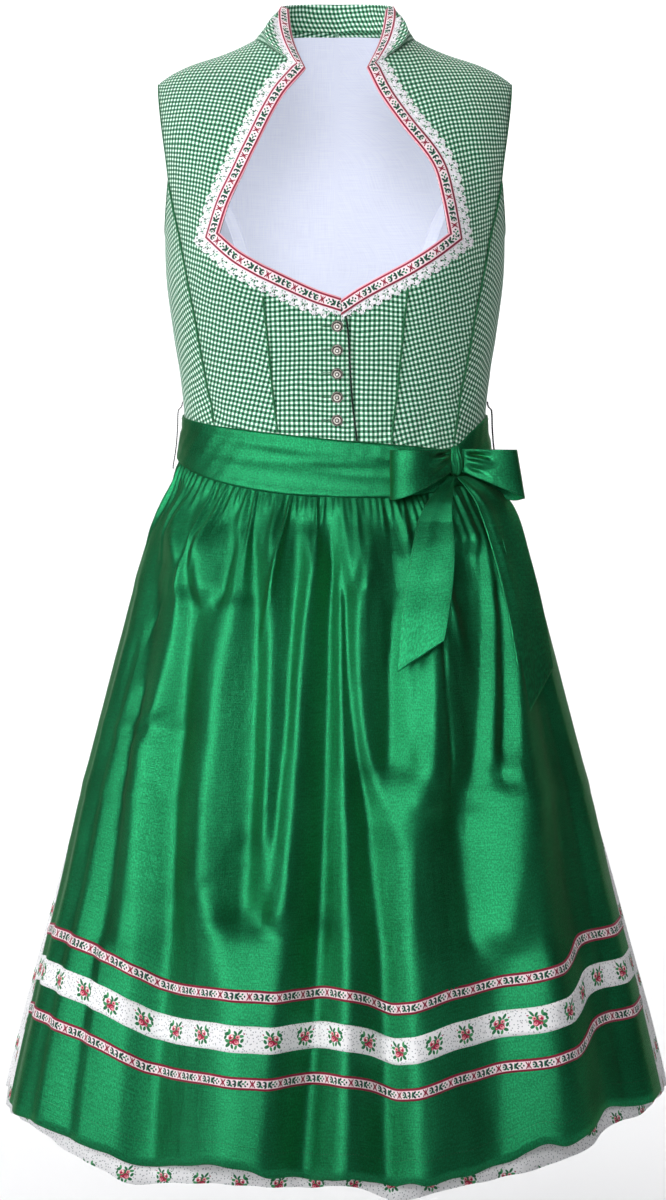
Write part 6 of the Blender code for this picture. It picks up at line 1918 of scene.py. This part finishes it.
# ================================================================ the whole dress
places_of_panels = make_bodice()
make_neck_trims()
make_piping(places_of_panels)
make_buttons()
make_belt_loops()
taffeta = taffeta_look()
green_stitches = Stitches()
# the sash gets a darker copy of the taffeta: painted shade
make_sash(taffeta_look("sash_taffeta", 0.86), green_stitches)
make_knot(taffeta)
make_loops(taffeta, green_stitches)
make_tails(taffeta, green_stitches)
make_apron(taffeta, green_stitches)
make_trims()
make_skirt()
make_buttonholes()
make_placket_stitches(green_stitches)
green_stitches.piece("top_stitches", thread_look("green_thread", linear(10, 74, 42)))


# ================================================================ studio
AIR_LIGHT, AIR_SEEN = 0.036, 0.70  # light from the air, and how much paler it looks beyond the paper
FLOOR_Z, SWEEP_START_Y, SWEEP_RADIUS = -1.42, 1.2, 1.4


def make_floor():
    """Pale sweep of paper: level under the dress and curved up behind it."""
    profile = [(-3.4, FLOOR_Z), (SWEEP_START_Y, FLOOR_Z)]
    for t in np.linspace(0.1, math.pi / 2, 16):
        rise = SWEEP_RADIUS * (1 - math.cos(t))
        profile.append((SWEEP_START_Y + SWEEP_RADIUS * math.sin(t), FLOOR_Z + rise))
    profile.append((2.6, 5.0))
    points = np.array([[(x, y, z) for x in (-4.0, 4.0)] for y, z in profile])
    paper = Look("studio_paper", (0.93, 0.93, 0.94), 0.95, Specular_IOR_Level=0.1)
    paper.bump(paper.noise(paper.node("TexCoord", out=3), 60.0, 3.0), 0.3 * MM, 0.3)
    # seen from behind, the paper lets the eye through to the dress
    paper.put(paper.shader.inputs["Alpha"], paper.math("SUBTRACT", 1.0, paper.node("NewGeometry", out=6)))
    mesh_piece("studio_sweep", points, grid_faces(*points.shape[:2]), paper.material)


# name, place, what it points at, width and height, power and the spread of its beam in degrees
LIGHTS = (
    ("key_left", (-2.45, -2.05, 0.6), (0.0, 0.0, -0.55), (2.2, 2.8), 86.0, 180),
    ("bodice_soft", (-0.3, -3.7, 0.9), (0.0, 0.0, -0.10), (1.8, 1.2), 8.0, 42),
    ("front_soft", (-0.5, -4.4, -0.5), (0.0, 0.0, -0.4), (3.4, 1.5), 6.0, 180),
    ("fill_right", (2.8, -2.6, 0.6), (0.0, 0.0, -0.55), (1.4, 2.0), 5.0, 180),
    ("back_paper", (0.0, 1.0, 1.6), (0.0, 2.6, -0.3), (3.4, 1.2), 60.0, 180),
)


def make_lights():
    for name, place, target, size, power, spread in LIGHTS:
        light = bpy.data.lights.new(name, "AREA")
        light.shape = "RECTANGLE"
        light.size, light.size_y = size
        light.energy, light.spread = power, math.radians(spread)
        lamp = bpy.data.objects.new(name, light)
        lamp.location = place
        lamp.rotation_euler = (Vector(target) - Vector(place)).to_track_quat("-Z", "Y").to_euler()
        bpy.context.scene.collection.objects.link(lamp)
    world = bpy.data.worlds.new("studio_air")
    world.use_nodes = True
    nodes, links = world.node_tree.nodes, world.node_tree.links
    nodes["Background"].inputs[0].default_value = (1, 1, 1, 1)
    path, strength = nodes.new("ShaderNodeLightPath"), nodes.new("ShaderNodeMath")
    strength.operation = "MULTIPLY_ADD"
    strength.inputs[1].default_value, strength.inputs[2].default_value = AIR_SEEN, AIR_LIGHT
    links.new(path.outputs["Is Camera Ray"], strength.inputs[0])
    links.new(strength.outputs[0], nodes["Background"].inputs[1])
    bpy.context.scene.world = world


def make_camera():
    data = bpy.data.cameras.new("photo_view")
    data.sensor_fit = "VERTICAL"
    data.sensor_height = 36.0
    data.lens = 85.71
    camera = bpy.data.objects.new("photo_view", data)
    camera.location = (-0.002, -3.0, -0.373)
    camera.rotation_euler = (math.radians(90) - math.atan(0.178 / 3), 0, 0)
    bpy.context.scene.collection.objects.link(camera)
    bpy.context.scene.camera = camera
    bpy.context.scene.view_settings.view_transform = "Standard"


make_floor()
make_lights()
make_camera()
